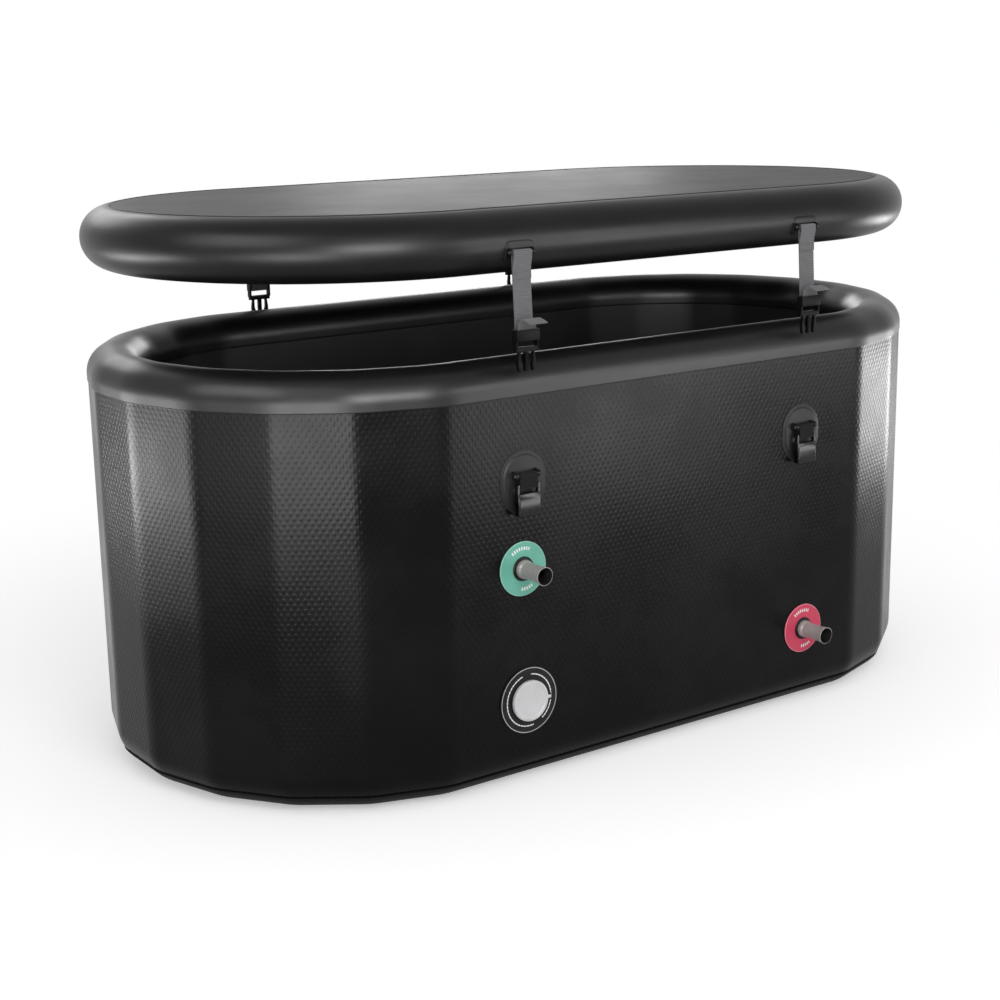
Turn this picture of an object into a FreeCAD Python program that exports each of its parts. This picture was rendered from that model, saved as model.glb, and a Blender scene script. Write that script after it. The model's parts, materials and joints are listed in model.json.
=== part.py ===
import FreeCAD, Part
import os
import re
import Sketcher

# Inflatable cold plunge tub with a lid held above it, in millimetres.
# The origin is on the floor under the middle of the tub, X runs along the tub, the ported wall faces -Y.

# Driving dimensions, one cell each
SIZES = {
    # tub
    "tub_length": 1486,
    "tub_width": 782,
    "tub_height": 650,
    "wall_thick": 85,
    "facets_per_end": 9,
    "skin_thick": 1.5,
    "band_thick": 2,
    "layer_gap": 0.2,
    "foot_round": 58,
    "rim_band_drop": 54,
    "base_band_high": 36,
    "base_band_low": 84,
    "base_sheet_thick": 2,
    "floor_thick": 50,
    "seam_strip_width": 40,
    "seam_strip_thick": 1,
    # lid
    "lid_inset": 1.5,
    "lid_thick": 92,
    "lid_hover": 120,
    "lid_skin": 2,
    "lid_edge_land": 0.5,
    "lid_seam_width": 3,
    "lid_seam_rise": 1,
    "lid_valve_x": 170,
    "lid_valve_y": 110,
    # straps and buckles
    "strap_inset": 72,
    "buckle_standoff": 12,
    "webbing_width": 32,
    "webbing_thick": 1.6,
    "pin_radius": 2,
    "pin_clear": 0.3,
    "patch_width": 81,
    "patch_height": 96,
    "patch_thick": 3,
    "patch_mid_drop": 181,
    "anchor_drop": 13,
    "anchor_inset": 7,
    "lid_patch_margin": 2,
    "lid_patch_height": 32,
    "lid_patch_thick": 1,
    "lug_thick": 4,
    "lug_clear": 2,
    "lug_round": 4.5,
    "lug_spread": 1.5,
    "socket_axis_drop": 168,
    "socket_bar_drop": 17,
    "socket_top_drop": 27,
    "socket_arm_rise": 4,
    "socket_arm_depth": 6.5,
    "buckle_margin": 4,
    "socket_thick": 13,
    "socket_wall": 3,
    "socket_side_wall": 3.8,
    "socket_floor": 2,
    "socket_corner": 3,
    "socket_slope_high": 8,
    "socket_slope_deep": 2.5,
    "window_low": 8,
    "window_high": 20,
    "buckle_seat_gap": 0.5,
    "tongue_clear": 0.6,
    "tongue_slack": 0.75,
    "tongue_thick": 9,
    "tongue_frame_thick": 9.6,
    "frame_top_drop": 122,
    "frame_cover_high": 16,
    "frame_cover_thick": 2.5,
    "strap_bar_drop": 135,
    "strap_bar_rise": 10,
    "crossbar_drop": 147,
    "shoulder_drop": 154,
    "prong_tip_clear": 2.5,
    "guide_width": 6,
    "arm_width": 4.5,
    "arm_waist": 4,
    "barb_low": 8,
    "barb_high": 15,
    "strap_return": 30,
    "tail_rise": 19,
    "tail_bend": 10,
    "tail_turn": 100,
    "tail_length": 17,
    # water ports
    "inlet_inset": 69,
    "inlet_drop": 311,
    "outlet_inset": 57,
    "outlet_height": 133,
    "sleeve_bore": 11,
    "sleeve_wall": 3,
    "sleeve_proud": 3,
    "sleeve_tail": 12,
    "disc_radius": 41.5,
    "disc_thick": 2.5,
    "lock_ring_wall": 4.5,
    "lock_ring_thick": 4.5,
    "gasket_rim": 10,
    "gasket_thick": 2,
    "nut_rim": 12,
    "nut_thick": 8,
    "thread_clear": 0.2,
    "spout_bore": 9.5,
    "spout_wall": 3,
    "spout_collar_long": 7,
    "spout_flare_start": 40,
    "spout_length": 56,
    "spout_flare": 1.5,
    "spout_lip": 1.2,
    "stopper_depth": 18,
    "stopper_lip": 2,
    "stopper_head_thick": 5,
    "stopper_stem": 4,
    "stopper_knob": 9,
    "stopper_knob_thick": 4,
    "stopper_reach": 20,
    # air valves
    "valve_inset": 77,
    "valve_height": 133,
    "flange_margin": 21,
    "flange_thick": 2,
    "valve_radius": 24,
    "valve_wall": 5,
    "valve_depth": 45,
    "valve_collar_lip": 3,
    "valve_collar_thick": 2.5,
    "web_depth": 20,
    "web_thick": 4,
    "web_hub": 2,
    "valve_nut_rim": 11,
    "valve_nut_thick": 8,
    "pocket_clear": 3,
    "stem_radius": 2,
    "button_radius": 8,
    "button_thick": 4,
    "button_sink": 3,
    "seal_clear": 1.5,
    "seal_cover": 1.5,
    "seal_thick": 2.5,
    "foot_radius": 4,
    "foot_thick": 3,
    "spring_radius": 4.5,
    "spring_wire": 0.5,
    "spring_turns": 5,
    "cap_clear": 2.7,
    "cap_wall": 1.8,
    "cap_height": 7,
    "cap_rim_width": 4.5,
    "cap_rim_rise": 0.8,
    "cap_seat_gap": 0.4,
    "hinge_offset": 4,
    "hinge_height": 5,
    "knuckle_radius": 2.6,
    "knuckle_half": 2.4,
    "knuckle_gap": 0.3,
    "knuckle_side": 2.5,
    "hinge_pin_radius": 1,
    "hinge_pin_clear": 0.15,
}

# Lengths worked out from the driving dimensions
DERIVED = {
    "half_angle": "90 / (facets_per_end + 1)",
    "rim_out": "tub_width / 2",
    "rim_in": "rim_out - wall_thick",
    "rim_mid": "rim_out - wall_thick / 2",
    "end_offset": "tub_length / 2 - rim_out",
    "rim_centre": "tub_height - wall_thick / 2",
    "rim_lip": "tub_height - rim_band_drop",
    "skin_face": "rim_out - band_thick - layer_gap",
    "skin_back": "skin_face - skin_thick",
    "core_out": "skin_back - layer_gap",
    "liner_face": "rim_in + band_thick + layer_gap",
    "liner_back": "liner_face + skin_thick",
    "core_in": "liner_back + layer_gap",
    "foot_mid": "rim_out - foot_round",
    "skin_foot": "foot_round - band_thick - layer_gap",
    "core_foot": "skin_foot - skin_thick - layer_gap",
    "floor_edge": "liner_face - layer_gap",
    "lid_bottom": "tub_height + lid_hover",
    "lid_top": "lid_bottom + lid_thick",
    "lid_mid": "lid_bottom + lid_thick / 2",
    "lid_edge": "rim_out - lid_inset",
    "lid_round": "lid_thick / 2 - lid_edge_land",
    "lid_panel_edge": "lid_edge - lid_round - layer_gap",
    "strap_x": "end_offset - strap_inset",
    "buckle_plane": "skin_face + buckle_standoff",
    "loop_in": "pin_radius + pin_clear",
    "loop_mid": "loop_in + webbing_thick / 2",
    "loop_out": "loop_in + webbing_thick",
    "lug_gap": "webbing_width + 2 * lug_clear",
    "buckle_width": "webbing_width + 2 * buckle_margin",
    "patch_mid": "tub_height - patch_mid_drop",
    "patch_side": "patch_width / 2",
    "patch_half_straight": "patch_height / 2 - patch_side",
    "socket_axis": "tub_height - socket_axis_drop",
    "socket_bar": "socket_axis - socket_bar_drop",
    "socket_top": "socket_axis - socket_top_drop",
    "mouth_drop": "lid_thick / 2 - shoulder_drop + socket_axis_drop - buckle_seat_gap",
    "socket_mouth": "socket_axis - mouth_drop",
    "socket_hole_side": "buckle_width / 2 - socket_side_wall",
    "socket_hole_thick": "socket_thick - 2 * socket_wall",
    "window_side": "webbing_width / 2 + tongue_clear",
    "prong_side": "socket_hole_side - tongue_clear",
    "prong_thick": "socket_hole_thick - 2 * tongue_slack",
    "shoulder": "lid_mid - shoulder_drop",
    "prong_length": "mouth_drop - socket_top_drop - socket_floor - prong_tip_clear",
    "prong_tip": "shoulder - prong_length",
    "strap_bar": "lid_mid - strap_bar_drop",
    "tail_start": "strap_bar + tail_rise",
    "anchor_z": "lid_mid - anchor_drop",
    "strap_fall": "anchor_z - strap_bar",
    "strap_run": "sqrt(anchor_inset ^ 2 + strap_fall ^ 2)",
    "run_off": "loop_mid * strap_fall / strap_run",
    "run_sink": "loop_mid * anchor_inset / strap_run",
    "lid_curve_mid": "buckle_plane - lid_edge + lid_round",
    "lid_patch_width": "lug_gap + 2 * lug_thick + 2 * lid_patch_margin",
    "lid_patch_round": "lid_round + layer_gap + lid_edge_land / 2",
    "lid_patch_top": "anchor_z + lid_patch_height / 2",
    "lid_patch_low": "anchor_z - lid_patch_height / 2",
    "wall_span": "skin_face - liner_face",
    "sleeve_out": "sleeve_bore + sleeve_wall",
    "sleeve_end": "wall_span + sleeve_tail",
    "lock_ring_radius": "sleeve_out + lock_ring_wall",
    "gasket_radius": "sleeve_out + gasket_rim",
    "nut_radius": "sleeve_out + nut_rim",
    "spout_neck": "spout_bore + spout_wall",
    "spout_mouth": "spout_neck + spout_flare",
    "stopper_head": "sleeve_out + stopper_lip",
    "inlet_x": "-(end_offset - inlet_inset)",
    "inlet_z": "tub_height - inlet_drop",
    "outlet_x": "end_offset - outlet_inset",
    "valve_x": "-(end_offset - valve_inset)",
    "valve_bore": "valve_radius - valve_wall",
    "valve_collar": "valve_radius + valve_collar_lip",
    "valve_nut_radius": "valve_radius + valve_nut_rim",
    "cap_radius": "valve_collar + cap_clear + cap_wall",
    "flange_radius": "cap_radius + flange_margin",
    "hinge_reach": "cap_radius + hinge_offset",
    "seal_radius": "valve_bore - seal_clear",
    "web_hole_circle": "(valve_bore + stem_radius + web_hub) / 2",
    "web_hole": "seal_radius - seal_cover - web_hole_circle",
    "web_low": "web_depth + web_thick",
    "seal_low": "web_low + seal_thick",
    "stem_end": "seal_low + foot_thick",
    "spring_low": "web_depth - spring_wire - layer_gap",
    "spring_high": "button_sink + button_thick + spring_wire + layer_gap",
    "knuckle_in": "knuckle_half + knuckle_gap",
    "knuckle_out": "knuckle_in + knuckle_side",
    "pocket_radius": "valve_nut_radius + pocket_clear",
    "pocket_depth": "valve_depth + pocket_clear",
}

STATIONS = {
    "front_left": (-1, -1),
    "front_right": (1, -1),
    "back_left": (-1, 1),
    "back_right": (1, 1),
}
ALONG_Z = FreeCAD.Vector(0, 0, 1)
ALONG_X = FreeCAD.Vector(1, 0, 0)
TINY = 1e-4

doc = FreeCAD.newDocument("plunge_tub")
sheet = doc.addObject("Spreadsheet::Sheet", "dims")
for row, (alias, size) in enumerate(SIZES.items(), 1):
    sheet.set(f"A{row}", alias)
    sheet.set(f"B{row}", str(size))
    sheet.setAlias(f"B{row}", alias)
doc.recompute()
pieces = []


def bind(text):
    """Turn a formula of named sizes into one that reads the sheet's cells."""

    def swap(match):
        word = match.group(0)
        if word in DERIVED:
            return "(" + bind(DERIVED[word]) + ")"
        return "dims." + word if word in SIZES else word

    return re.sub(r"[a-z][a-z_]*", swap, str(text))


def number(text):
    """Value of a formula of named sizes."""
    return float(sheet.evalExpression(bind(text)))


def keep(item, label):
    """Give a finished piece its label and put it on the list to write."""
    item.Label = label
    pieces.append(item)
    return item


def place(item, x, y, z, axis=ALONG_Z, turn=0):
    """Turn an object about an axis, then move it to a point given by formulas."""
    item.Placement = FreeCAD.Placement(FreeCAD.Vector(), FreeCAD.Rotation(axis, turn))
    for name, text in (("x", x), ("y", y), ("z", z)):
        item.setExpression(f"Placement.Base.{name}", bind(text))
    return item


def hold(sketch, kind, axis, spot, text):
    """Tie one coordinate of a sketch point to a formula."""
    value = number(text)
    if abs(value) < TINY:
        sketch.addConstraint(Sketcher.Constraint("PointOnObject", *spot, axis))
        return
    ends = (-1, 1, *spot) if value > 0 else (*spot, -1, 1)
    index = sketch.addConstraint(Sketcher.Constraint(kind, *ends, abs(value)))
    sketch.setExpression(f"Constraints[{index}]", bind(text) if value > 0 else f"-({bind(text)})")


def hold_point(sketch, spot, x, y):
    """Tie both coordinates of a sketch point to formulas."""
    hold(sketch, "DistanceX", -2, spot, x)
    hold(sketch, "DistanceY", -1, spot, y)


def arc_between(start, end, centre, turn):
    """Arc from one point to the next about a centre; returns it with its ends in drawing order."""
    circle = Part.Circle(centre, ALONG_Z, (start - centre).Length)
    first, last = (start, end) if turn == "ccw" else (end, start)
    arc = Part.ArcOfCircle(circle, circle.parameter(first), circle.parameter(last))
    return arc, ((1, 2) if turn == "ccw" else (2, 1))


def draw_outline(sketch, points, closed=True):
    """Draw lines and arcs through points: (x, y) starts a line, (x, y, centre x, centre y, turn) an arc."""
    spots = [FreeCAD.Vector(number(p[0]), number(p[1]), 0) for p in points]
    count = len(points) if closed else len(points) - 1
    sides = []
    for i in range(count):
        start, end = spots[i], spots[(i + 1) % len(points)]
        if len(points[i]) == 2:
            sides.append((sketch.addGeometry(Part.LineSegment(start, end)), (1, 2)))
            continue
        centre = FreeCAD.Vector(number(points[i][2]), number(points[i][3]), 0)
        arc, ends = arc_between(start, end, centre, points[i][4])
        sides.append((sketch.addGeometry(arc), ends))
    for i in range(count if closed else count - 1):
        side, after = sides[i], sides[(i + 1) % count]
        sketch.addConstraint(Sketcher.Constraint("Coincident", side[0], side[1][1], after[0], after[1][0]))
    for i, (geometry, ends) in enumerate(sides):
        hold_point(sketch, (geometry, ends[0]), points[i][0], points[i][1])
        if len(points[i]) > 2:
            chord = spots[(i + 1) % len(points)] - spots[i]
            if abs(chord.x) >= abs(chord.y):
                hold(sketch, "DistanceY", -1, (geometry, 3), points[i][3])
            else:
                hold(sketch, "DistanceX", -2, (geometry, 3), points[i][2])
    if not closed:
        geometry, ends = sides[-1]
        hold_point(sketch, (geometry, ends[1]), points[-1][0], points[-1][1])


def draw_circle(sketch, x, y, radius):
    """Draw a full circle whose centre and radius follow formulas."""
    centre = FreeCAD.Vector(number(x), number(y), 0)
    geometry = sketch.addGeometry(Part.Circle(centre, ALONG_Z, number(radius)))
    hold_point(sketch, (geometry, 3), x, y)
    index = sketch.addConstraint(Sketcher.Constraint("Radius", geometry, number(radius)))
    sketch.setExpression(f"Constraints[{index}]", bind(radius))


def new_body(label):
    """Start one solid."""
    body = doc.addObject("PartDesign::Body", label)
    body.Label = label
    return body


def new_sketch(body, role, outlines=(), circles=(), offset=None, closed=True):
    """Draw outlines and circles on one of a body's own planes, moved along its normal by an offset."""
    sketch = body.newObject("Sketcher::SketchObject", body.Name + "_sketch")
    plane = [item for item in body.Origin.OriginFeatures if item.Role == role][0]
    sketch.AttachmentSupport = (plane, [""])
    sketch.MapMode = "FlatFace"
    if offset is not None:
        sketch.setExpression("AttachmentOffset.Base.z", bind(offset))
    for points in outlines:
        draw_outline(sketch, points, closed)
    for x, y, radius in circles:
        draw_circle(sketch, x, y, radius)
    return sketch


def grow(body, kind, role, length, outlines=(), circles=(), offset=None, midplane=False, back=False):
    """Pad or pocket outlines drawn on one of a body's planes."""
    sketch = new_sketch(body, role, outlines, circles, offset)
    feature = body.newObject("PartDesign::" + kind, f"{body.Name}_{kind.lower()}")
    feature.Profile = sketch
    feature.Midplane = midplane
    feature.Reversed = back
    feature.setExpression("Length", bind(length))
    doc.recompute()
    return feature


def pad(body, role, length, **drawing):
    """Add material."""
    return grow(body, "Pad", role, length, **drawing)


def pocket(body, role, length, **drawing):
    """Take material away."""
    return grow(body, "Pocket", role, length, **drawing)


def revolve(body, points):
    """Turn an outline of (radius, height) points about the upright axis."""
    sketch = new_sketch(body, "XZ_Plane", [points])
    feature = body.newObject("PartDesign::Revolution", body.Name + "_turn")
    feature.Profile = sketch
    feature.ReferenceAxis = (sketch, ["V_Axis"])
    feature.Angle = 360
    doc.recompute()
    return feature


def dress(body, kind, size, chosen):
    """Fillet or chamfer the edges of a body that a test picks."""
    base = body.Tip
    edges = [f"Edge{i}" for i, edge in enumerate(base.Shape.Edges, 1) if chosen(edge)]
    feature = body.newObject("PartDesign::" + kind, f"{body.Name}_{kind.lower()}")
    feature.Base = (base, edges)
    feature.setExpression("Radius" if kind == "Fillet" else "Size", bind(size))
    doc.recompute()
    return feature


def ring_points(inner, outer, low, high):
    """Outline of a plain ring's section."""
    return [(inner, low), (outer, low), (outer, high), (inner, high)]


def box_points(left, right, low, high):
    """Outline of a rectangle."""
    return [(left, low), (right, low), (right, high), (left, high)]


def stadium_points(reach, radius):
    """Outline with two straight sides and two half-round ends, lying along the first axis."""
    return [
        (f"-({reach})", f"-({radius})"),
        (reach, f"-({radius})", reach, "0", "ccw"),
        (reach, radius),
        (f"-({reach})", radius, f"-({reach})", "0", "ccw"),
    ]


def link(source, label):
    """A further copy of a finished shape, with a place of its own."""
    copy = doc.addObject("App::Link", label)
    copy.LinkedObject = source
    return copy


def group(label, items):
    """Several separate solids that make one node."""
    bundle = doc.addObject("Part::Compound", label)
    bundle.Links = items
    return keep(bundle, label)


def drilled(label, base, tools):
    """A shape with round holes taken out of it."""
    bits = doc.addObject("Part::Compound", label + "_bits")
    bits.Links = tools
    cut = doc.addObject("Part::Cut", label)
    cut.Base = base
    cut.Tool = bits
    return cut


def bore(label, radius, depth, x, y, z, axis, turn):
    """A round bit that starts at a point and runs along its turned axis."""
    bit = doc.addObject("Part::Cylinder", label)
    bit.setExpression("Radius", bind(radius))
    bit.setExpression("Height", bind(depth))
    return place(bit, x, y, z, axis, turn)


def at_station(item, name):
    """Carry a piece from the buckle frame to one of the four strap places."""
    side, face = STATIONS[name]
    turn = 0 if face < 0 else 180
    return place(item, f"{side} * strap_x", f"{face} * buckle_plane", 0, ALONG_Z, turn)


def at_wall(item, x, z):
    """Carry a piece whose axis is upright to the front wall, with its axis pointing out."""
    return place(item, x, "-skin_face", z, ALONG_X, 90)


# Tub wall: one wedge of the long side and one wedge of an end facet, repeated round the tub
def wedge(label, reach):
    """Plan of one wall panel: it widens outwards to the mitre lines that it shares with its neighbours."""
    near, far = "rim_in - wall_thick / 2", "rim_out + wall_thick / 2"
    points = [
        (f"-({reach} + ({near}) * tan(half_angle))", f"-({near})"),
        (f"-({reach} + ({far}) * tan(half_angle))", f"-({far})"),
        (f"{reach} + ({far}) * tan(half_angle)", f"-({far})"),
        (f"{reach} + ({near}) * tan(half_angle)", f"-({near})"),
    ]
    body = new_body(label)
    pad(body, "XY_Plane", "2 * tub_height", outlines=[points], midplane=True)
    return body


side_wedge = wedge("side_wedge", "end_offset")
facet_wedge = wedge("facet_wedge", "0")
FACET_COUNT = int(SIZES["facets_per_end"])
FACET_TURN = 180 / (FACET_COUNT + 1)


def wall_panels(label, points):
    """Panels of one wall layer: the front panel first, then the back one, then the facets of both ends."""
    strip = new_body(label + "_strip")
    pad(strip, "YZ_Plane", "2 * (end_offset + tub_width)", outlines=[points], midplane=True)
    shapes = []
    for name, tool in (("side", side_wedge), ("facet", facet_wedge)):
        panel = doc.addObject("Part::Common", f"{label}_{name}")
        panel.Base = strip
        panel.Tool = tool
        shapes.append(panel)
    side, facet = shapes
    panels = [side, place(link(side, f"{label}_back"), 0, 0, 0, ALONG_Z, 180)]
    for end in (-1, 1):
        for step in range(1, FACET_COUNT + 1):
            copy = link(facet, f"{label}_facet_{step}")
            panels.append(place(copy, f"{end} * end_offset", 0, 0, ALONG_Z, end * step * FACET_TURN))
    return panels


def joined(label, panels):
    """One sheet made of its panels."""
    sheet_ring = doc.addObject("Part::MultiFuse", label)
    sheet_ring.Shapes = panels
    return sheet_ring


FRONT = "-(skin_face + wall_thick / 2)"
THROUGH = "2 * wall_thick"


def wall_bit(label, radius, depth, x, z, start=FRONT):
    """A bit that drills the front wall from outside."""
    return bore(label, radius, depth, x, start, z, ALONG_X, -90)


PORTS = {"inlet": ("inlet_x", "inlet_z"), "outlet": ("outlet_x", "outlet_height")}
port_bits = [
    wall_bit(f"{name}_bit", "sleeve_out + thread_clear", THROUGH, x, z) for name, (x, z) in PORTS.items()
]
valve_bit = wall_bit("valve_bit", "valve_radius + thread_clear", "wall_thick", "valve_x", "valve_height")
valve_pocket = wall_bit(
    "valve_pocket", "pocket_radius", "pocket_depth", "valve_x", "valve_height", "-skin_face"
)

# Thread-filled core, one convex block behind each panel
core_panels = wall_panels(
    "wall_core",
    [
        ("-core_out", "rim_centre"),
        ("-core_out", "foot_round", "-foot_mid", "foot_round", "ccw"),
        ("-foot_mid", "foot_round - core_foot"),
        ("-core_in", "foot_round - core_foot"),
        ("-core_in", "rim_centre", "-rim_mid", "rim_centre", "ccw"),
    ],
)
core_panels[0] = drilled("wall_core_front", core_panels[0], port_bits + [valve_pocket])
group("wall_core", core_panels)

# Outer skin, from under the foot to under the rim band
outer_skin = joined(
    "outer_skin_sheet",
    wall_panels(
        "outer_skin",
        [
            ("-skin_face", "rim_centre"),
            ("-skin_face", "foot_round", "-foot_mid", "foot_round", "ccw"),
            ("-foot_mid", "foot_round - skin_foot"),
            ("-foot_mid", "foot_round - skin_foot + skin_thick", "-foot_mid", "foot_round", "cw"),
            ("-skin_back", "foot_round"),
            ("-skin_back", "rim_centre"),
        ],
    ),
)
keep(drilled("wall_outer_skin", outer_skin, port_bits + [valve_bit]), "wall_outer_skin")

# Inner skin, smooth and upright
liner_section = box_points("-liner_back", "-liner_face", "foot_round - core_foot", "rim_centre")
inner_skin = joined("inner_skin_sheet", wall_panels("inner_skin", liner_section))
keep(drilled("wall_inner_skin", inner_skin, port_bits), "wall_inner_skin")

# Rim band, folded over the top edge down both faces
rim_points = [
    ("-rim_out", "rim_lip"),
    ("-rim_out + band_thick", "rim_lip"),
    ("-rim_out + band_thick", "rim_centre", "-rim_mid", "rim_centre", "cw"),
    ("-rim_in - band_thick", "rim_centre"),
    ("-rim_in - band_thick", "rim_lip"),
    ("-rim_in", "rim_lip"),
    ("-rim_in", "rim_centre", "-rim_mid", "rim_centre", "ccw"),
    ("-rim_out", "rim_centre"),
]
keep(joined("rim_band", wall_panels("rim", rim_points)), "rim_band")


def foot_spot(radius, angle):
    """A point on a circle about the foot rounding's centre, an angle below level."""
    return f"-foot_mid - ({radius}) * cos({angle})", f"foot_round - ({radius}) * sin({angle})"


# Base band, wrapped up the foot rounding
base_points = [
    (*foot_spot("foot_round", "base_band_high"), "-foot_mid", "foot_round", "ccw"),
    foot_spot("foot_round", "base_band_low"),
    (*foot_spot("foot_round - band_thick", "base_band_low"), "-foot_mid", "foot_round", "cw"),
    foot_spot("foot_round - band_thick", "base_band_high"),
]
keep(joined("base_band", wall_panels("base", base_points)), "base_band")


def tub_outline(radius):
    """Plan of the faceted tub: both ends are facets tangent to a circle of the given radius."""
    points = []
    for end in (1, -1):
        for step in range(FACET_COUNT + 1):
            angle = f"({-90 * end} + half_angle * {2 * step + 1})"
            x = f"{end} * end_offset + ({radius}) / cos(half_angle) * cos{angle}"
            points.append((x, f"({radius}) / cos(half_angle) * sin{angle}"))
    return points


def slab(label, radius, low, thick):
    """A flat slab with the tub's faceted plan."""
    body = new_body(label)
    pad(body, "XY_Plane", thick, outlines=[tub_outline(radius)], offset=low)
    return keep(body, label)


slab("base_sheet", "foot_mid", "0", "base_sheet_thick")
slab("floor_panel", "floor_edge", "base_sheet_thick", "floor_thick")

# Weld strip up the back wall, where the ends of the outer skin meet
strip_body = new_body("wall_seam_strip")
strip_sides = box_points("-seam_strip_width / 2", "seam_strip_width / 2", "foot_round", "rim_lip")
pad(strip_body, "XZ_Plane", "seam_strip_thick", outlines=[strip_sides], offset="-skin_face", back=True)
keep(strip_body, "wall_seam_strip")


# Water ports: upright bodies, with height measured out from the wall's skin
def turned(label, points):
    """A turned piece, still upright at the origin."""
    body = new_body(label)
    revolve(body, points)
    return body


def hex_nut(label, across, hole, low, thick):
    """A hexagon nut with a plain round hole."""
    body = new_body(label)
    corners = [(f"({across}) * cos({60 * k})", f"({across}) * sin({60 * k})") for k in range(6)]
    pad(body, "XY_Plane", thick, outlines=[corners], circles=[("0", "0", hole)], offset=low)
    return body


def rounded(edge, radius):
    """Whether an edge is a full circle of the given radius about the upright axis."""
    curve = edge.Curve
    return isinstance(curve, Part.Circle) and abs(curve.Radius - number(radius)) < TINY


sleeve = turned("sleeve", ring_points("sleeve_bore", "sleeve_out", "-sleeve_end", "sleeve_proud"))
lock_ring = turned(
    "lock_ring", ring_points("sleeve_out + thread_clear", "lock_ring_radius", "0", "lock_ring_thick")
)
dress(lock_ring, "Chamfer", "sleeve_wall / 4", lambda edge: rounded(edge, "lock_ring_radius"))
gasket = turned(
    "gasket",
    ring_points("sleeve_out + thread_clear", "gasket_radius", "-wall_span - gasket_thick", "-wall_span"),
)
nut_low = "-wall_span - gasket_thick - nut_thick"
inner_nut = hex_nut("inner_nut", "nut_radius", "sleeve_out + thread_clear", nut_low, "nut_thick")
for label, source in (
    ("port_sleeves", sleeve),
    ("port_lock_rings", lock_ring),
    ("port_gaskets", gasket),
    ("port_inner_nuts", inner_nut),
):
    copies = [at_wall(link(source, f"{label}_{name}"), x, z) for name, (x, z) in PORTS.items()]
    group(label, copies)

spout_points = [
    ("spout_bore", "sleeve_proud"),
    ("sleeve_out", "sleeve_proud"),
    ("sleeve_out", "sleeve_proud + spout_collar_long"),
    ("spout_neck", "sleeve_proud + 1.5 * spout_collar_long"),
    ("spout_neck", "spout_flare_start"),
    ("spout_mouth", "spout_length"),
    ("spout_mouth - spout_lip", "spout_length"),
    ("spout_bore", "spout_flare_start"),
]
stopper_points = [
    ("0", "-sleeve_end + stopper_depth"),
    ("0", "-sleeve_end - stopper_reach"),
    ("stopper_knob", "-sleeve_end - stopper_reach"),
    ("stopper_knob", "-sleeve_end - stopper_reach + stopper_knob_thick"),
    ("stopper_stem", "-sleeve_end - stopper_reach + stopper_knob_thick"),
    ("stopper_stem", "-sleeve_end - stopper_head_thick"),
    ("stopper_head", "-sleeve_end - stopper_head_thick"),
    ("stopper_head", "-sleeve_end"),
    ("sleeve_bore - thread_clear", "-sleeve_end"),
    ("sleeve_bore - thread_clear", "-sleeve_end + stopper_depth"),
]
for name, (x, z) in PORTS.items():
    disc = turned(
        f"{name}_disc", ring_points("lock_ring_radius + thread_clear", "disc_radius", "0", "disc_thick")
    )
    dress(disc, "Fillet", "disc_thick / 3", lambda edge: rounded(edge, "disc_radius"))
    spout = turned(f"{name}_spout", spout_points)
    dress(spout, "Fillet", "spout_lip / 3", lambda edge: rounded(edge, "spout_mouth"))
    stopper = turned(f"{name}_stopper", stopper_points)
    for body in (disc, spout, stopper):
        keep(at_wall(body, x, z), body.Label)


# Air valves: the same set on the wall and under the lid
HINGE_BARREL = [("hinge_reach", "hinge_height", "knuckle_radius")]
HINGE_HOLE = [("hinge_reach", "hinge_height", "hinge_pin_radius + hinge_pin_clear")]
HINGE_PIN = [("hinge_reach", "hinge_height", "hinge_pin_radius")]


def add_hinge_ears(body):
    """Two hinge barrels on feet of their own, either side of the cap's barrel."""
    foot = box_points(
        "hinge_reach - knuckle_radius", "hinge_reach + knuckle_radius", "flange_thick / 2", "hinge_height"
    )
    for side in (1, -1):
        for drawing in ({"circles": HINGE_BARREL}, {"outlines": [foot]}):
            pad(body, "XZ_Plane", "knuckle_side", offset=f"{side} * knuckle_in", back=side < 0, **drawing)
    pocket(body, "XZ_Plane", "4 * knuckle_out", circles=HINGE_HOLE, midplane=True)


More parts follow.
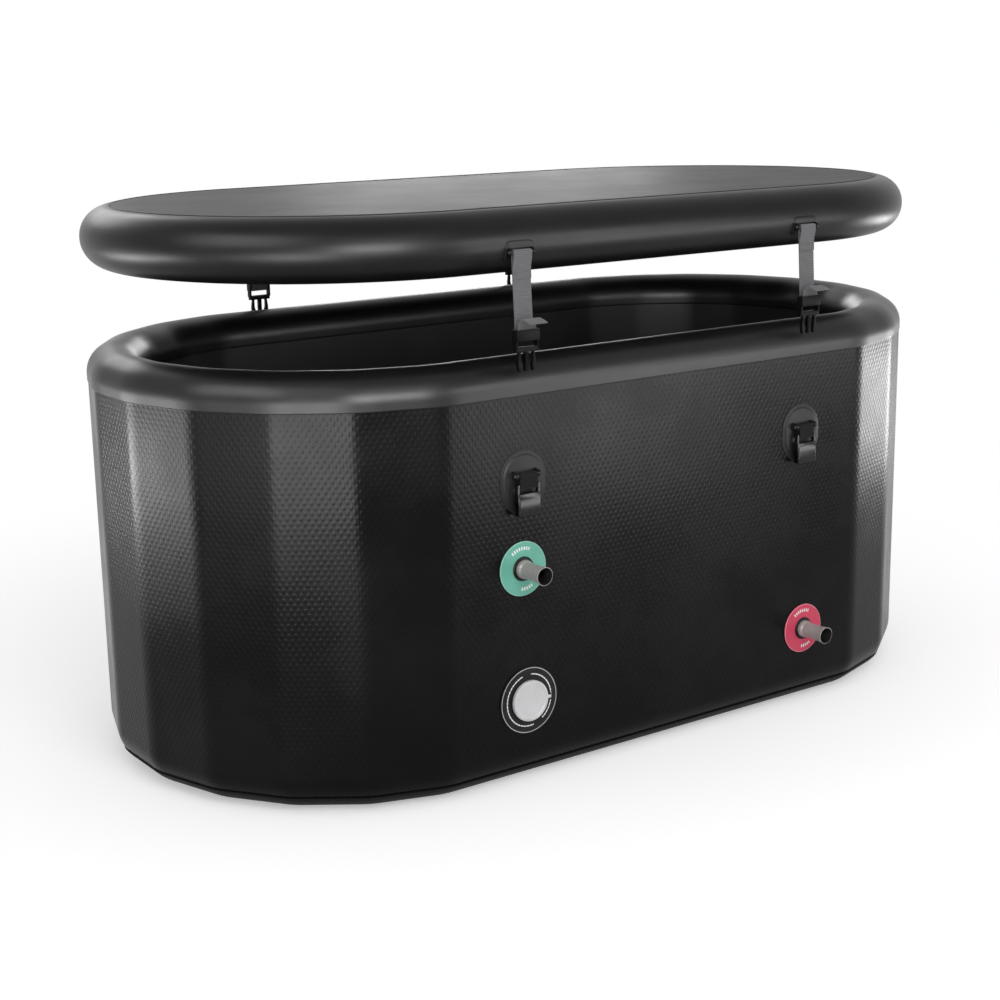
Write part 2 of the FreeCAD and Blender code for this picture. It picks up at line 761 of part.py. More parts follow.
def make_valve(prefix, skin, carry):
    """Flange, body, nut, plunger, seal, spring, cap and hinge pin, each carried to its place on a skin."""
    flange = new_body(f"{prefix}_flange")
    revolve(flange, ring_points("valve_radius + thread_clear", "flange_radius", "0", "flange_thick"))
    add_hinge_ears(flange)

    shell = new_body(f"{prefix}_body")
    revolve(
        shell,
        [
            ("stem_radius + pin_clear", "-web_low"),
            ("valve_bore", "-web_low"),
            ("valve_bore", "-valve_depth"),
            ("valve_radius", "-valve_depth"),
            ("valve_radius", "flange_thick"),
            ("valve_collar", "flange_thick"),
            ("valve_collar", "flange_thick + valve_collar_thick"),
            ("valve_bore", "flange_thick + valve_collar_thick"),
            ("valve_bore", "-web_depth"),
            ("stem_radius + pin_clear", "-web_depth"),
        ],
    )
    air_hole = pocket(
        shell,
        "XY_Plane",
        "3 * web_thick",
        circles=[("web_hole_circle", "0", "web_hole")],
        offset="-web_low - web_thick",
        back=True,
    )
    around = shell.newObject("PartDesign::PolarPattern", f"{prefix}_air_holes")
    around.Originals = [air_hole]
    around.Axis = (air_hole.Profile[0], ["N_Axis"])
    around.Angle = 360
    around.Occurrences = 3
    shell.Tip = around
    doc.recompute()

    nut = hex_nut(
        f"{prefix}_nut",
        "valve_nut_radius",
        "valve_radius + thread_clear",
        f"-{skin} - layer_gap - valve_nut_thick",
        "valve_nut_thick",
    )
    plunger = turned(
        f"{prefix}_plunger",
        [
            ("0", "-button_sink"),
            ("0", "-stem_end"),
            ("foot_radius", "-stem_end"),
            ("foot_radius", "-seal_low"),
            ("stem_radius", "-seal_low"),
            ("stem_radius", "-button_sink - button_thick"),
            ("button_radius", "-button_sink - button_thick"),
            ("button_radius", "-button_sink"),
        ],
    )
    seal = turned(
        f"{prefix}_seal", ring_points("stem_radius + layer_gap", "seal_radius", "-seal_low", "-web_low")
    )
    spring = new_body(f"{prefix}_spring")
    wire = new_sketch(spring, "XZ_Plane", circles=[("spring_radius", "-spring_low", "spring_wire")])
    coil = spring.newObject("PartDesign::AdditiveHelix", f"{prefix}_coil")
    coil.Profile = wire
    coil.ReferenceAxis = (wire, ["V_Axis"])
    coil.Mode = "height-turns-angle"
    coil.setExpression("Height", bind("spring_low - spring_high"))
    coil.setExpression("Turns", bind("spring_turns"))
    doc.recompute()

    cap = new_body(f"{prefix}_cap")
    revolve(
        cap,
        [
            ("0", "cap_height - cap_wall"),
            ("cap_radius - cap_wall", "cap_height - cap_wall"),
            ("cap_radius - cap_wall", "flange_thick + cap_seat_gap"),
            ("cap_radius", "flange_thick + cap_seat_gap"),
            ("cap_radius", "cap_height + cap_rim_rise"),
            ("cap_radius - cap_rim_width", "cap_height + cap_rim_rise"),
            ("cap_radius - cap_rim_width - cap_rim_rise", "cap_height"),
            ("0", "cap_height"),
        ],
    )
    dress(cap, "Fillet", "cap_rim_rise / 2", lambda edge: rounded(edge, "cap_radius"))
    arm_low, arm_high = "hinge_height - knuckle_radius / 2", "hinge_height + knuckle_radius"
    arm = box_points("cap_radius - cap_wall / 2", "hinge_reach", arm_low, arm_high)
    pad(cap, "XZ_Plane", "2 * knuckle_half", outlines=[arm], midplane=True)
    pad(cap, "XZ_Plane", "2 * knuckle_half", circles=HINGE_BARREL, midplane=True)
    pocket(cap, "XZ_Plane", "4 * knuckle_half", circles=HINGE_HOLE, midplane=True)

    pin = new_body(f"{prefix}_hinge_pin")
    pad(pin, "XZ_Plane", "2 * knuckle_out", circles=HINGE_PIN, midplane=True)
    for body in (flange, shell, nut, plunger, seal, spring, cap, pin):
        keep(carry(body), body.Label)


def under_lid(item):
    """Carry a piece whose axis is upright to the lid's underside, with its axis pointing down."""
    return place(item, "lid_valve_x", "lid_valve_y", "lid_bottom", ALONG_X, 180)


make_valve("wall_valve", "skin_thick", lambda item: at_wall(item, "valve_x", "valve_height"))
make_valve("lid_valve", "lid_skin", under_lid)


# Buckle hardware, drawn in a frame with its origin in the buckle plane and the wall on its +Y side
def add_lugs(body, back, axis_y, axis_z):
    """Two lugs that carry an anchor pin: a back edge of given points, low one first, and a round front."""
    outline = back + [
        (axis_y, f"{axis_z} + lug_round", axis_y, axis_z, "ccw"),
        (axis_y, f"{axis_z} - lug_round"),
    ]
    for side in (1, -1):
        pad(body, "YZ_Plane", "lug_thick", outlines=[outline], offset=f"{side} * lug_gap / 2", back=side < 0)
    eye = [(axis_y, axis_z, "pin_radius + pin_clear / 2")]
    pocket(body, "YZ_Plane", "lug_gap + 4 * lug_thick", circles=eye, midplane=True)


def anchor_pin(label, axis_y, axis_z):
    """Plain pin across the buckle frame."""
    body = new_body(label)
    pad(body, "YZ_Plane", "lug_gap + 2 * lug_thick", circles=[(axis_y, axis_z, "pin_radius")], midplane=True)
    return body


def four(label, source):
    """A group of the same piece at the four strap places."""
    group(label, [at_station(link(source, f"{label}_{name}"), name) for name in STATIONS])


patch_outline = [
    ("patch_side", "patch_mid - patch_half_straight"),
    ("patch_side", "patch_mid + patch_half_straight", "0", "patch_mid + patch_half_straight", "ccw"),
    ("-patch_side", "patch_mid + patch_half_straight"),
    ("-patch_side", "patch_mid - patch_half_straight", "0", "patch_mid - patch_half_straight", "ccw"),
]
wall_patch = new_body("wall_patch")
pad(wall_patch, "XZ_Plane", "patch_thick", outlines=[patch_outline], offset="-buckle_standoff")
patch_face = "buckle_standoff - patch_thick"
patch_edge = [
    (patch_face, "socket_axis - lug_round - lug_spread"),
    (patch_face, "socket_axis + lug_round + lug_spread"),
]
add_lugs(wall_patch, patch_edge, "0", "socket_axis")
four("wall_patches", wall_patch)
four("wall_anchor_pins", anchor_pin("wall_anchor_pin", "0", "socket_axis"))


def lid_spot(radius, z):
    """A point at a height on a circle about the middle of the lid's rounded side."""
    return f"lid_curve_mid - sqrt(({radius}) ^ 2 - ({z} - lid_mid) ^ 2)", z


LID_CURVE = ("lid_curve_mid", "lid_mid")
lid_patch = new_body("lid_patch")
lid_patch_section = [
    (*lid_spot("lid_patch_round", "lid_patch_top"), *LID_CURVE, "ccw"),
    lid_spot("lid_patch_round", "lid_patch_low"),
    (*lid_spot("lid_patch_round + lid_patch_thick", "lid_patch_low"), *LID_CURVE, "cw"),
    lid_spot("lid_patch_round + lid_patch_thick", "lid_patch_top"),
]
pad(lid_patch, "YZ_Plane", "lid_patch_width", outlines=[lid_patch_section], midplane=True)
lid_patch_core = "lid_patch_round + lid_patch_thick / 2"
lid_patch_edge = [
    (*lid_spot(lid_patch_core, "anchor_z - lug_round - lug_spread"), *LID_CURVE, "cw"),
    lid_spot(lid_patch_core, "anchor_z + lug_round + lug_spread"),
]
add_lugs(lid_patch, lid_patch_edge, "anchor_inset", "anchor_z")
four("lid_patches", lid_patch)
four("lid_anchor_pins", anchor_pin("lid_anchor_pin", "anchor_inset", "anchor_z"))


def upright_loop(radius, low, high):
    """Outline of a loop with two straight sides and round ends, standing upright."""
    return [
        (radius, low),
        (radius, high, "0", high, "ccw"),
        (f"-({radius})", high),
        (f"-({radius})", low, "0", low, "ccw"),
    ]


def make_socket(name):
    """Buckle socket, mouth down, and the webbing loop that it hangs from."""
    loop = new_body(f"socket_loop_{name}")
    sides = [upright_loop(radius, "socket_bar", "socket_axis") for radius in ("loop_out", "loop_in")]
    pad(loop, "YZ_Plane", "webbing_width", outlines=sides, midplane=True)
    keep(at_station(loop, name), loop.Label)

    socket = new_body(f"socket_{name}")
    case = box_points("-buckle_width / 2", "buckle_width / 2", "socket_mouth", "socket_top")
    pad(socket, "XZ_Plane", "socket_thick", outlines=[case], midplane=True)
    dress(
        socket,
        "Fillet",
        "socket_corner",
        lambda edge: abs(edge.BoundBox.ZLength - number("socket_top - socket_mouth")) < TINY,
    )
    slopes = [
        [
            (f"{face} * socket_thick / 2", "socket_top - socket_slope_high"),
            (f"{face} * socket_thick", "socket_top - socket_slope_high"),
            (f"{face} * socket_thick", "socket_top + socket_floor"),
            (f"{face} * (socket_thick / 2 - socket_slope_deep)", "socket_top + socket_floor"),
            (f"{face} * (socket_thick / 2 - socket_slope_deep)", "socket_top"),
        ]
        for face in (-1, 1)
    ]
    pocket(socket, "YZ_Plane", "2 * buckle_width", outlines=slopes, midplane=True)
    arm_low, arm_high = "socket_top - socket_floor", "socket_bar + socket_arm_rise"
    arms = [
        box_points("window_side", "buckle_width / 2", arm_low, arm_high),
        box_points("-buckle_width / 2", "-window_side", arm_low, arm_high),
    ]
    pad(socket, "XZ_Plane", "socket_arm_depth", outlines=arms, midplane=True)
    bar = [("0", "socket_bar", "pin_radius")]
    pad(socket, "YZ_Plane", "buckle_width - socket_wall", circles=bar, midplane=True)
    hole = box_points("-socket_hole_side", "socket_hole_side", "socket_mouth", "socket_top - socket_floor")
    pocket(socket, "XZ_Plane", "socket_hole_thick", outlines=[hole], midplane=True)
    low, high = "socket_mouth + window_low", "socket_mouth + window_high"
    window = box_points("-socket_hole_thick / 2", "socket_hole_thick / 2", low, high)
    pocket(socket, "YZ_Plane", "2 * buckle_width", outlines=[window], midplane=True)
    keep(at_station(socket, name), socket.Label)


def tongue_arm(side):
    """Springy side arm: a slim root, a waist and a barb that swells towards the tip."""
    outline = [
        ("prong_side - arm_width", "shoulder + tongue_clear"),
        ("prong_side - arm_width", "prong_tip + barb_high"),
        ("prong_side - arm_width - arm_waist / 2", "prong_tip + barb_low"),
        ("prong_side - arm_width - arm_waist / 4", "prong_tip"),
        ("prong_side - arm_waist / 2", "prong_tip"),
        ("prong_side", "prong_tip + barb_low"),
        ("prong_side", "prong_tip + barb_high"),
        ("prong_side - arm_waist / 2", "shoulder + tongue_clear"),
    ]
    return [(f"{side} * ({x})", z) for x, z in outline]


def make_strap(name):
    """Strap that leans from its lid pin to the tongue's bar, turns under it and ends in a loose tail."""
    strap = new_body(f"strap_{name}")
    start_y, start_z = "anchor_inset - loop_mid", "anchor_z - strap_return"
    bend_y, bend_z = "-loop_mid - tail_bend", "tail_start"
    turn_y, turn_z = f"{bend_y} + tail_bend * cos(tail_turn)", f"{bend_z} + tail_bend * sin(tail_turn)"
    path = [
        (start_y, start_z),
        (start_y, "anchor_z", "anchor_inset", "anchor_z", "cw"),
        ("anchor_inset + run_off", "anchor_z - run_sink"),
        ("run_off", "strap_bar - run_sink", "0", "strap_bar", "cw"),
        ("-loop_mid", "strap_bar"),
        ("-loop_mid", bend_z, bend_y, bend_z, "ccw"),
        (turn_y, turn_z),
        (f"{turn_y} - tail_length * sin(tail_turn)", f"{turn_z} + tail_length * cos(tail_turn)"),
    ]
    spine = new_sketch(strap, "YZ_Plane", [path], closed=False)
    band = [
        (f"{x} * webbing_width / 2", f"{start_y} + {y} * webbing_thick / 2")
        for x, y in ((-1, -1), (1, -1), (1, 1), (-1, 1))
    ]
    section = new_sketch(strap, "XY_Plane", [band], offset=start_z)
    sweep = strap.newObject("PartDesign::AdditivePipe", strap.Name + "_sweep")
    sweep.Profile = section
    sweep.Spine = (spine, [f"Edge{i}" for i in range(1, len(path))])
    doc.recompute()
    keep(at_station(strap, name), strap.Label)


def make_tongue(name):
    """Buckle tongue: a covered frame with the strap's bar, a crossbar, a middle guide and two springy arms."""
    tongue = new_body(f"tongue_{name}")
    crossbar = box_points("-buckle_width / 2", "buckle_width / 2", "shoulder", "lid_mid - crossbar_drop")
    pad(tongue, "XZ_Plane", "tongue_thick", outlines=[crossbar], midplane=True)
    dress(
        tongue,
        "Fillet",
        "socket_corner",
        lambda edge: abs(edge.BoundBox.ZLength - number("shoulder_drop - crossbar_drop")) < TINY,
    )
    low, high = "lid_mid - crossbar_drop - socket_floor", "lid_mid - frame_top_drop"
    frame = [
        box_points("window_side + tongue_clear", "buckle_width / 2", low, high),
        box_points("-buckle_width / 2", "-window_side - tongue_clear", low, high),
    ]
    pad(tongue, "XZ_Plane", "tongue_frame_thick", outlines=frame, midplane=True)
    cover = box_points("-buckle_width / 2", "buckle_width / 2", f"{high} - frame_cover_high", high)
    pad(tongue, "XZ_Plane", "frame_cover_thick", outlines=[cover], offset="loop_out + tongue_clear")
    bar = upright_loop("pin_radius", "strap_bar", "strap_bar + strap_bar_rise")
    pad(tongue, "YZ_Plane", "buckle_width - socket_wall", outlines=[bar], midplane=True)
    guide = box_points("-guide_width / 2", "guide_width / 2", "prong_tip", "shoulder + tongue_clear")
    pad(tongue, "XZ_Plane", "prong_thick", outlines=[guide], midplane=True)
    pad(tongue, "XZ_Plane", "prong_thick", outlines=[tongue_arm(1), tongue_arm(-1)], midplane=True)
    keep(at_station(tongue, name), tongue.Label)


for station in STATIONS:
    make_socket(station)
    make_strap(station)
    make_tongue(station)


# Lid: a core with half-round edges under a side band and two flat panels
def cushion(label, inset, sink):
    """A slab with the lid's plan and half-round edges, drawn in from the lid's outside."""
    body = new_body(label)
    outline = stadium_points("end_offset", f"lid_edge - ({inset})")
    pad(body, "XY_Plane", f"lid_thick - 2 * ({sink})", outlines=[outline], offset=f"lid_bottom + ({sink})")
    dress(
        body,
        "Fillet",
        f"lid_round - ({sink})",
        lambda edge: edge.BoundBox.ZLength < TINY,
    )
    return body


lid_outside = cushion("lid_outside", "0", "0")
lid_inside = cushion("lid_inside", "lid_skin", "lid_skin")
lid_block = cushion("lid_block", "lid_skin + layer_gap", "lid_skin + layer_gap")

panel_gap = new_body("panel_gap")
gap_outline = stadium_points("end_offset", "lid_panel_edge + layer_gap")
pad(panel_gap, "XY_Plane", "lid_thick * 2", outlines=[gap_outline], offset="lid_bottom - lid_thick / 2")
lid_wrap = doc.addObject("Part::Cut", "lid_wrap")
lid_wrap.Base = lid_outside
lid_wrap.Tool = lid_inside
side_band = doc.addObject("Part::Cut", "lid_side_band")
side_band.Base = lid_wrap
side_band.Tool = panel_gap
keep(side_band, "lid_side_band")

VALVE_UP = ("lid_valve_x", "lid_valve_y", "lid_bottom - valve_depth")
lid_bit = bore("lid_bit", "valve_radius + thread_clear", "2 * valve_depth", *VALVE_UP, ALONG_Z, 0)
lid_pocket = bore("lid_pocket", "pocket_radius", "pocket_depth + valve_depth", *VALVE_UP, ALONG_Z, 0)
keep(drilled("lid_core", lid_block, [lid_pocket]), "lid_core")

panel_outline = stadium_points("end_offset", "lid_panel_edge")
top_panel = new_body("lid_top_panel")
pad(top_panel, "XY_Plane", "lid_skin", outlines=[panel_outline], offset="lid_top - lid_skin")
keep(top_panel, "lid_top_panel")
bottom_sheet = new_body("lid_bottom_sheet")
pad(bottom_sheet, "XY_Plane", "lid_skin", outlines=[panel_outline], offset="lid_bottom")
keep(drilled("lid_bottom_panel", bottom_sheet, [lid_bit]), "lid_bottom_panel")

bead = new_body("lid_seam_bead")
bead_sides = [
    stadium_points("end_offset", f"lid_panel_edge - {inset} * lid_seam_width") for inset in (0, 1)
]
pad(bead, "XY_Plane", "lid_seam_rise", outlines=bead_sides, offset="lid_top")
keep(bead, "lid_seam_bead")


# Check everything, then write one file for each piece
doc.recompute()
for item in doc.Objects:
    if {"Invalid", "Error"} & set(item.State):
        raise RuntimeError(f"{item.Name} failed: {item.State}")
    if item.TypeId == "PartDesign::Pocket":
        if item.Shape.Volume >= item.BaseFeature.Shape.Volume - TINY:
            raise RuntimeError(f"{item.Name} cuts nothing")
for item in pieces:
    if item.Shape.isNull() or not item.Shape.isValid():
        raise RuntimeError(f"{item.Label} has no valid shape")
os.makedirs("parts", exist_ok=True)
for item in pieces:
    item.Shape.exportStep(f"parts/{item.Label}.step")
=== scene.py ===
import json
import math

import bmesh
import bpy
import numpy as np
from mathutils import Matrix, Vector

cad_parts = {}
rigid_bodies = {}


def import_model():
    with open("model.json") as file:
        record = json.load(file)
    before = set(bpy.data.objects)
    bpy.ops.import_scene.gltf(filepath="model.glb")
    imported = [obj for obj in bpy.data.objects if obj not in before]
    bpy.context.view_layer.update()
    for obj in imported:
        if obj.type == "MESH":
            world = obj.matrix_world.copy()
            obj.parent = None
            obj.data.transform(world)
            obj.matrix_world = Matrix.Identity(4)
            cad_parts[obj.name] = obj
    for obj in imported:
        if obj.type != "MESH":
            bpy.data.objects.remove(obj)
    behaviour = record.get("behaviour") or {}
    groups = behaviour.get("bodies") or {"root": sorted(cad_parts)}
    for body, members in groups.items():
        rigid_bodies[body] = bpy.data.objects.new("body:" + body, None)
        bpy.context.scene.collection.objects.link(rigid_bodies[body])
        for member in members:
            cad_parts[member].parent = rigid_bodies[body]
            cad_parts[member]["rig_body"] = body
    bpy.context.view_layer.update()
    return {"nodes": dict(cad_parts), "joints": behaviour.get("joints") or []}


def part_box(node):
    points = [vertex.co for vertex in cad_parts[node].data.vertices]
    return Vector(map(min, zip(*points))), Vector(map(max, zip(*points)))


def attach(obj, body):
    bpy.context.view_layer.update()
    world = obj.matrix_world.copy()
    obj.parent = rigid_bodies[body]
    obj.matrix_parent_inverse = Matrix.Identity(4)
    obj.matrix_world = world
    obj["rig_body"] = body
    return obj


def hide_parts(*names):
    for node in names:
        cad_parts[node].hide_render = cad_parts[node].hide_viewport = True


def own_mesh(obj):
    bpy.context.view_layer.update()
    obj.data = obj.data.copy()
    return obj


# Cold plunge tub: skins, lid, straps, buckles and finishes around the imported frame, in metres
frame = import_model()
NODES = frame["nodes"]
JOINTS = {joint["name"]: joint for joint in frame["joints"]}
STATIONS = ("front_left", "front_right", "back_left", "back_right")
MM = 0.001

# Sizes of the tub wall, the main ones read from the frame
rim_low, rim_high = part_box("rim_band")
HALF_LENGTH, HALF_WIDTH, HEIGHT = rim_high
END = HALF_LENGTH - HALF_WIDTH
RIM_LIP = rim_low.z
WALL = 85 * MM
BAND = 2 * MM
GAP = 0.2 * MM
SKIN = 1.5 * MM
FOOT = 58 * MM
SKIN_FACE = HALF_WIDTH - BAND - GAP
LINER_FACE = HALF_WIDTH - WALL + BAND + GAP
RIM_CENTRE = HEIGHT - WALL / 2
RIM_MID = HALF_WIDTH - WALL / 2
FOOT_MID = HALF_WIDTH - FOOT
FACETS = 9
PANELS = 2 * (FACETS + 1)
FACET_TURN = math.radians(180 / (FACETS + 1))
CREASE = 90 * MM
RIM_INNER_CREASE = 140 * MM
RIM_CREASE = 200 * MM

# Sizes of the lid
lid_low, lid_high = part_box("lid_side_band")
LID_EDGE = lid_high.y
LID_BOTTOM, LID_TOP = lid_low.z, lid_high.z
LID_ROUND = 45.5 * MM
LID_PANEL = LID_EDGE - LID_ROUND - GAP
LID_SKIN = 2 * MM
BEAD_WIDTH = 3 * MM

# Sizes of straps and patches, in a frame with its origin at the anchor pin and the wall on its +Y side
WEBBING_WIDTH = 32 * MM
WEBBING_THICK = 1.6 * MM
LOOP = 3.1 * MM
STRAP_BAR = np.array([-7, -122]) * MM
STRAP_LEAN = math.degrees(math.atan2(-STRAP_BAR[0], -STRAP_BAR[1]))
TAIL_RISE = 19 * MM
TAIL_BEND = 10 * MM
TAIL_TURN = 100
TAIL = 17 * MM
SOCKET_BAR = -17 * MM
STANDOFF = 12 * MM
PATCH_SIDE = 40.5 * MM
PATCH_STRAIGHT = 7.5 * MM
PATCH_MID = -13 * MM
PATCH_THICK = 3 * MM
LID_PATCH_HALF = 16 * MM
LUG_MID = 20 * MM
LUG_THICK = 3.8 * MM
LUG_ROOT = 6 * MM

# Sockets of a node that mixes two colours
MIX_FACTOR, MIX_FIRST, MIX_SECOND, MIX_RESULT = 0, 6, 7, 2


class Finish:
    """One procedural material: a shader and short calls for the nodes that feed it."""

    def __init__(self, name, colour, roughness, **constants):
        self.material = bpy.data.materials.new(name)
        self.material.use_nodes = True
        self.tree = self.material.node_tree
        self.shader = self.tree.nodes["Principled BSDF"]
        self.paint = (*colour, 1)
        self.set("Base Color", self.paint)
        self.set("Roughness", roughness)
        for name, value in constants.items():
            self.set(name.replace("_", " ").title().replace("Ior", "IOR"), value)
        self.normal = None

    def set(self, socket, value):
        """Give one of the shader's sockets a constant or a link."""
        self.feed(self.shader.inputs[socket], value)

    def feed(self, socket, value):
        """Link a socket, or set its own value."""
        if isinstance(value, bpy.types.NodeSocket):
            self.tree.links.new(value, socket)
        else:
            socket.default_value = value

    def node(self, kind, *inputs, **settings):
        """Add a node, with its first inputs in order and its settings by name."""
        made = self.tree.nodes.new("ShaderNode" + kind)
        for name, value in settings.items():
            setattr(made, name, value)
        for socket, value in zip(made.inputs, inputs):
            self.feed(socket, value)
        return made

    def math(self, operation, *inputs):
        """The result of one Math node."""
        return self.node("Math", *inputs, operation=operation).outputs[0]

    def coords(self, kind):
        """The three parts of a coordinate."""
        vector = self.node("TexCoord").outputs[kind]
        return self.node("SeparateXYZ", vector).outputs

    def noise(self, scale, detail=3):
        """Cloudy noise from 0 to 1, fixed to the piece."""
        vector = self.node("TexCoord").outputs["Object"]
        made = self.node("TexNoise", vector)
        made.inputs["Scale"].default_value = scale
        made.inputs["Detail"].default_value = detail
        made.inputs["Roughness"].default_value = NOISE_ROUGH
        return made.outputs["Fac"]

    def fit(self, value, low, high, to_low, to_high):
        """Map a range smoothly onto another."""
        ends = (low, high, to_low, to_high)
        return self.node("MapRange", value, *ends, interpolation_type="SMOOTHSTEP").outputs[0]

    def tint(self, mask, colour):
        """Lay a colour over the paint where a mask is 1."""
        mix = self.node("Mix", data_type="RGBA")
        self.feed(mix.inputs[MIX_FACTOR], mask)
        self.feed(mix.inputs[MIX_FIRST], self.paint)
        self.feed(mix.inputs[MIX_SECOND], (*colour, 1))
        self.paint = mix.outputs[MIX_RESULT]
        self.set("Base Color", self.paint)

    def bump(self, height, depth, strength=1.0):
        """Raise the surface by a height from 0 to 1 times a depth."""
        made = self.node("Bump")
        made.inputs["Strength"].default_value = strength
        made.inputs["Distance"].default_value = depth
        self.feed(made.inputs["Height"], height)
        if self.normal is not None:
            self.feed(made.inputs["Normal"], self.normal)
        self.normal = made.outputs[0]
        self.set("Normal", self.normal)

    def cloud(self, scale, colour, amount, rough_low, rough_high):
        """Uneven colour and gloss, as on handled plastic sheet."""
        cloud = self.noise(scale)
        self.tint(self.fit(cloud, *CLOUD_TINT, 0.0, amount), colour)
        self.set("Roughness", self.fit(cloud, *CLOUD_GLOSS, rough_low, rough_high))

    def distance(self, first, second):
        """The root of the sum of two squares."""
        squares = self.math("ADD", self.math("POWER", first, 2.0), self.math("POWER", second, 2.0))
        return self.math("SQRT", squares)

    def ring_mask(self, middle, radius, width):
        """1 on a printed upright ring about a middle, with the angle round it for breaking the ring up."""
        x, _, z = self.coords("Object")
        across = self.math("SUBTRACT", x, middle.x)
        up = self.math("SUBTRACT", z, middle.z)
        angle = self.math("ARCTAN2", up, across)
        return self.math("COMPARE", self.distance(across, up), radius, width / 2), angle


def wave(finish, value, pitch):
    """A sine from 0 to 1 with the given pitch."""
    phase = finish.math("MULTIPLY", value, 2 * math.pi / pitch)
    return finish.math("MULTIPLY_ADD", finish.math("SINE", phase), 0.5, 0.5)


# Finishes: noise scales are per metre, depths in metres
CLOUD_TINT, CLOUD_GLOSS = (0.35, 0.75), (0.3, 0.7)
SHEET_CLOUD, EMBOSS_CLOUD, WEBBING_CLOUD = 9, 6, 60
PLASTIC_CLOUD, STEEL_CLOUD = 45, 300
GRAIN, ORANGE_PEEL, DRAWN_LINES = 900, 1400, 2500
FINE_DETAIL, NOISE_ROUGH = 2, 0.6
GRAIN_STRENGTH, SCRATCH_STRENGTH = 0.5, 0.4
GRAIN_DEPTH, FINE_DEPTH = 0.00005, 0.00003
PVC_BLACK, PVC_WORN = (0.0025, 0.0025, 0.0027), (0.004, 0.004, 0.0043)
PVC_GLOSS = 0.07
EMBOSS_PITCH = 10 * MM
EMBOSS_SLOPE = 0.67
EMBOSS_LOW, EMBOSS_HIGH = 0.12, 0.72
WARP, WEFT, WEAVE_DEPTH = 1.9 * MM, 2.6 * MM, 0.0004
THREAD_WARP, THREAD_WEFT, THREAD_DEPTH = 0.5 * MM, 0.6 * MM, 0.0001
WEBBING_ROUGH, WEBBING_SHEEN, LOOP_SHEEN = 0.85, 0.25, 0.05
BUCKLE_BLACK, BUCKLE_WORN = (0.003, 0.003, 0.0032), (0.005, 0.005, 0.0053)
BUCKLE_UNEVEN, PLASTIC_UNEVEN = 0.02, 0.07
FITTING_BLACK, FITTING_WORN = (0.004, 0.004, 0.0043), (0.007, 0.007, 0.0074)


def smooth_pvc(name, colour, worn, rough, gloss, grain_depth=GRAIN_DEPTH):
    """Coated sheet with a fine leathery grain."""
    made = Finish(name, colour, rough, specular_ior_level=gloss)
    made.cloud(SHEET_CLOUD, worn, 0.6, rough - 0.02, rough + 0.03)
    made.bump(made.noise(GRAIN, FINE_DETAIL), grain_depth, GRAIN_STRENGTH)
    return made


def embossed_pvc(name, colour, worn, rough, depth):
    """Coated sheet pressed with staggered lozenges: two slanted waves are multiplied."""
    made = Finish(name, colour, rough, specular_ior_level=PVC_GLOSS)
    made.cloud(EMBOSS_CLOUD, worn, 0.8, rough - 0.04, rough + 0.06)
    along, up = made.coords("UV")[:2]
    slant = made.math("MULTIPLY", up, EMBOSS_SLOPE)
    first = wave(made, made.math("ADD", along, slant), EMBOSS_PITCH)
    second = wave(made, made.math("SUBTRACT", along, slant), EMBOSS_PITCH)
    lozenge = made.fit(made.math("MULTIPLY", first, second), EMBOSS_LOW, EMBOSS_HIGH, 0.0, 1.0)
    made.bump(lozenge, depth)
    made.bump(made.noise(GRAIN, FINE_DETAIL), FINE_DEPTH, GRAIN_STRENGTH)
    return made


def woven(name, colour, pale, warp, weft, depth, sheen=WEBBING_SHEEN):
    """Webbing: bumps where the waves of warp and weft multiply, with a paler thread on top."""
    made = Finish(
        name, colour, WEBBING_ROUGH, sheen_weight=sheen, sheen_roughness=0.5, specular_ior_level=sheen
    )
    along, across = made.coords("UV")[:2]
    knots = made.math("MULTIPLY", wave(made, across, warp), wave(made, along, weft))
    made.tint(made.fit(knots, 0.1, 0.6, 0.0, 1.0), pale)
    made.tint(made.fit(made.noise(WEBBING_CLOUD), 0.4, 0.75, 0.0, 0.5), colour)
    made.bump(knots, depth)
    return made


def moulded(name, colour, worn, rough, gloss=0.5, depth=GRAIN_DEPTH, uneven=PLASTIC_UNEVEN):
    """Moulded plastic with a faint orange-peel skin and scuffs."""
    made = Finish(name, colour, rough, specular_ior_level=gloss)
    made.cloud(PLASTIC_CLOUD, worn, 0.6, rough - uneven, rough + uneven)
    made.bump(made.noise(ORANGE_PEEL, FINE_DETAIL), depth, GRAIN_STRENGTH)
    return made


def steel(name, tone):
    """Drawn steel with fine scratches and an uneven gloss."""
    made = Finish(name, (tone, tone, tone * 1.01), 0.32, metallic=1.0)
    made.cloud(STEEL_CLOUD, (tone * 0.7, tone * 0.7, tone * 0.72), 0.7, 0.25, 0.42)
    made.bump(made.noise(DRAWN_LINES, FINE_DETAIL), FINE_DEPTH, SCRATCH_STRENGTH)
    return made


outer_pvc = embossed_pvc("outer_pvc", PVC_BLACK, PVC_WORN, 0.26, 0.00012)
rim_pvc = smooth_pvc("rim_pvc", (0.006, 0.006, 0.0064), (0.008, 0.008, 0.0085), 0.36, 0.175)
liner_pvc = smooth_pvc("liner_pvc", (0.015, 0.015, 0.016), (0.022, 0.022, 0.0234), 0.45, 0.15)
base_pvc = smooth_pvc("base_pvc", PVC_BLACK, PVC_WORN, 0.5, 0.05)
floor_pvc = embossed_pvc("floor_pvc", (0.02, 0.02, 0.0212), (0.028, 0.028, 0.0296), 0.5, 0.0004)
lid_top_pvc = smooth_pvc(
    "lid_top_pvc", (0.02, 0.02, 0.0212), (0.027, 0.027, 0.0285), 0.55, 0.15, grain_depth=0.00016
)
lid_side_pvc = smooth_pvc("lid_side_pvc", (0.004, 0.004, 0.0043), (0.006, 0.006, 0.0064), 0.36, 0.13)
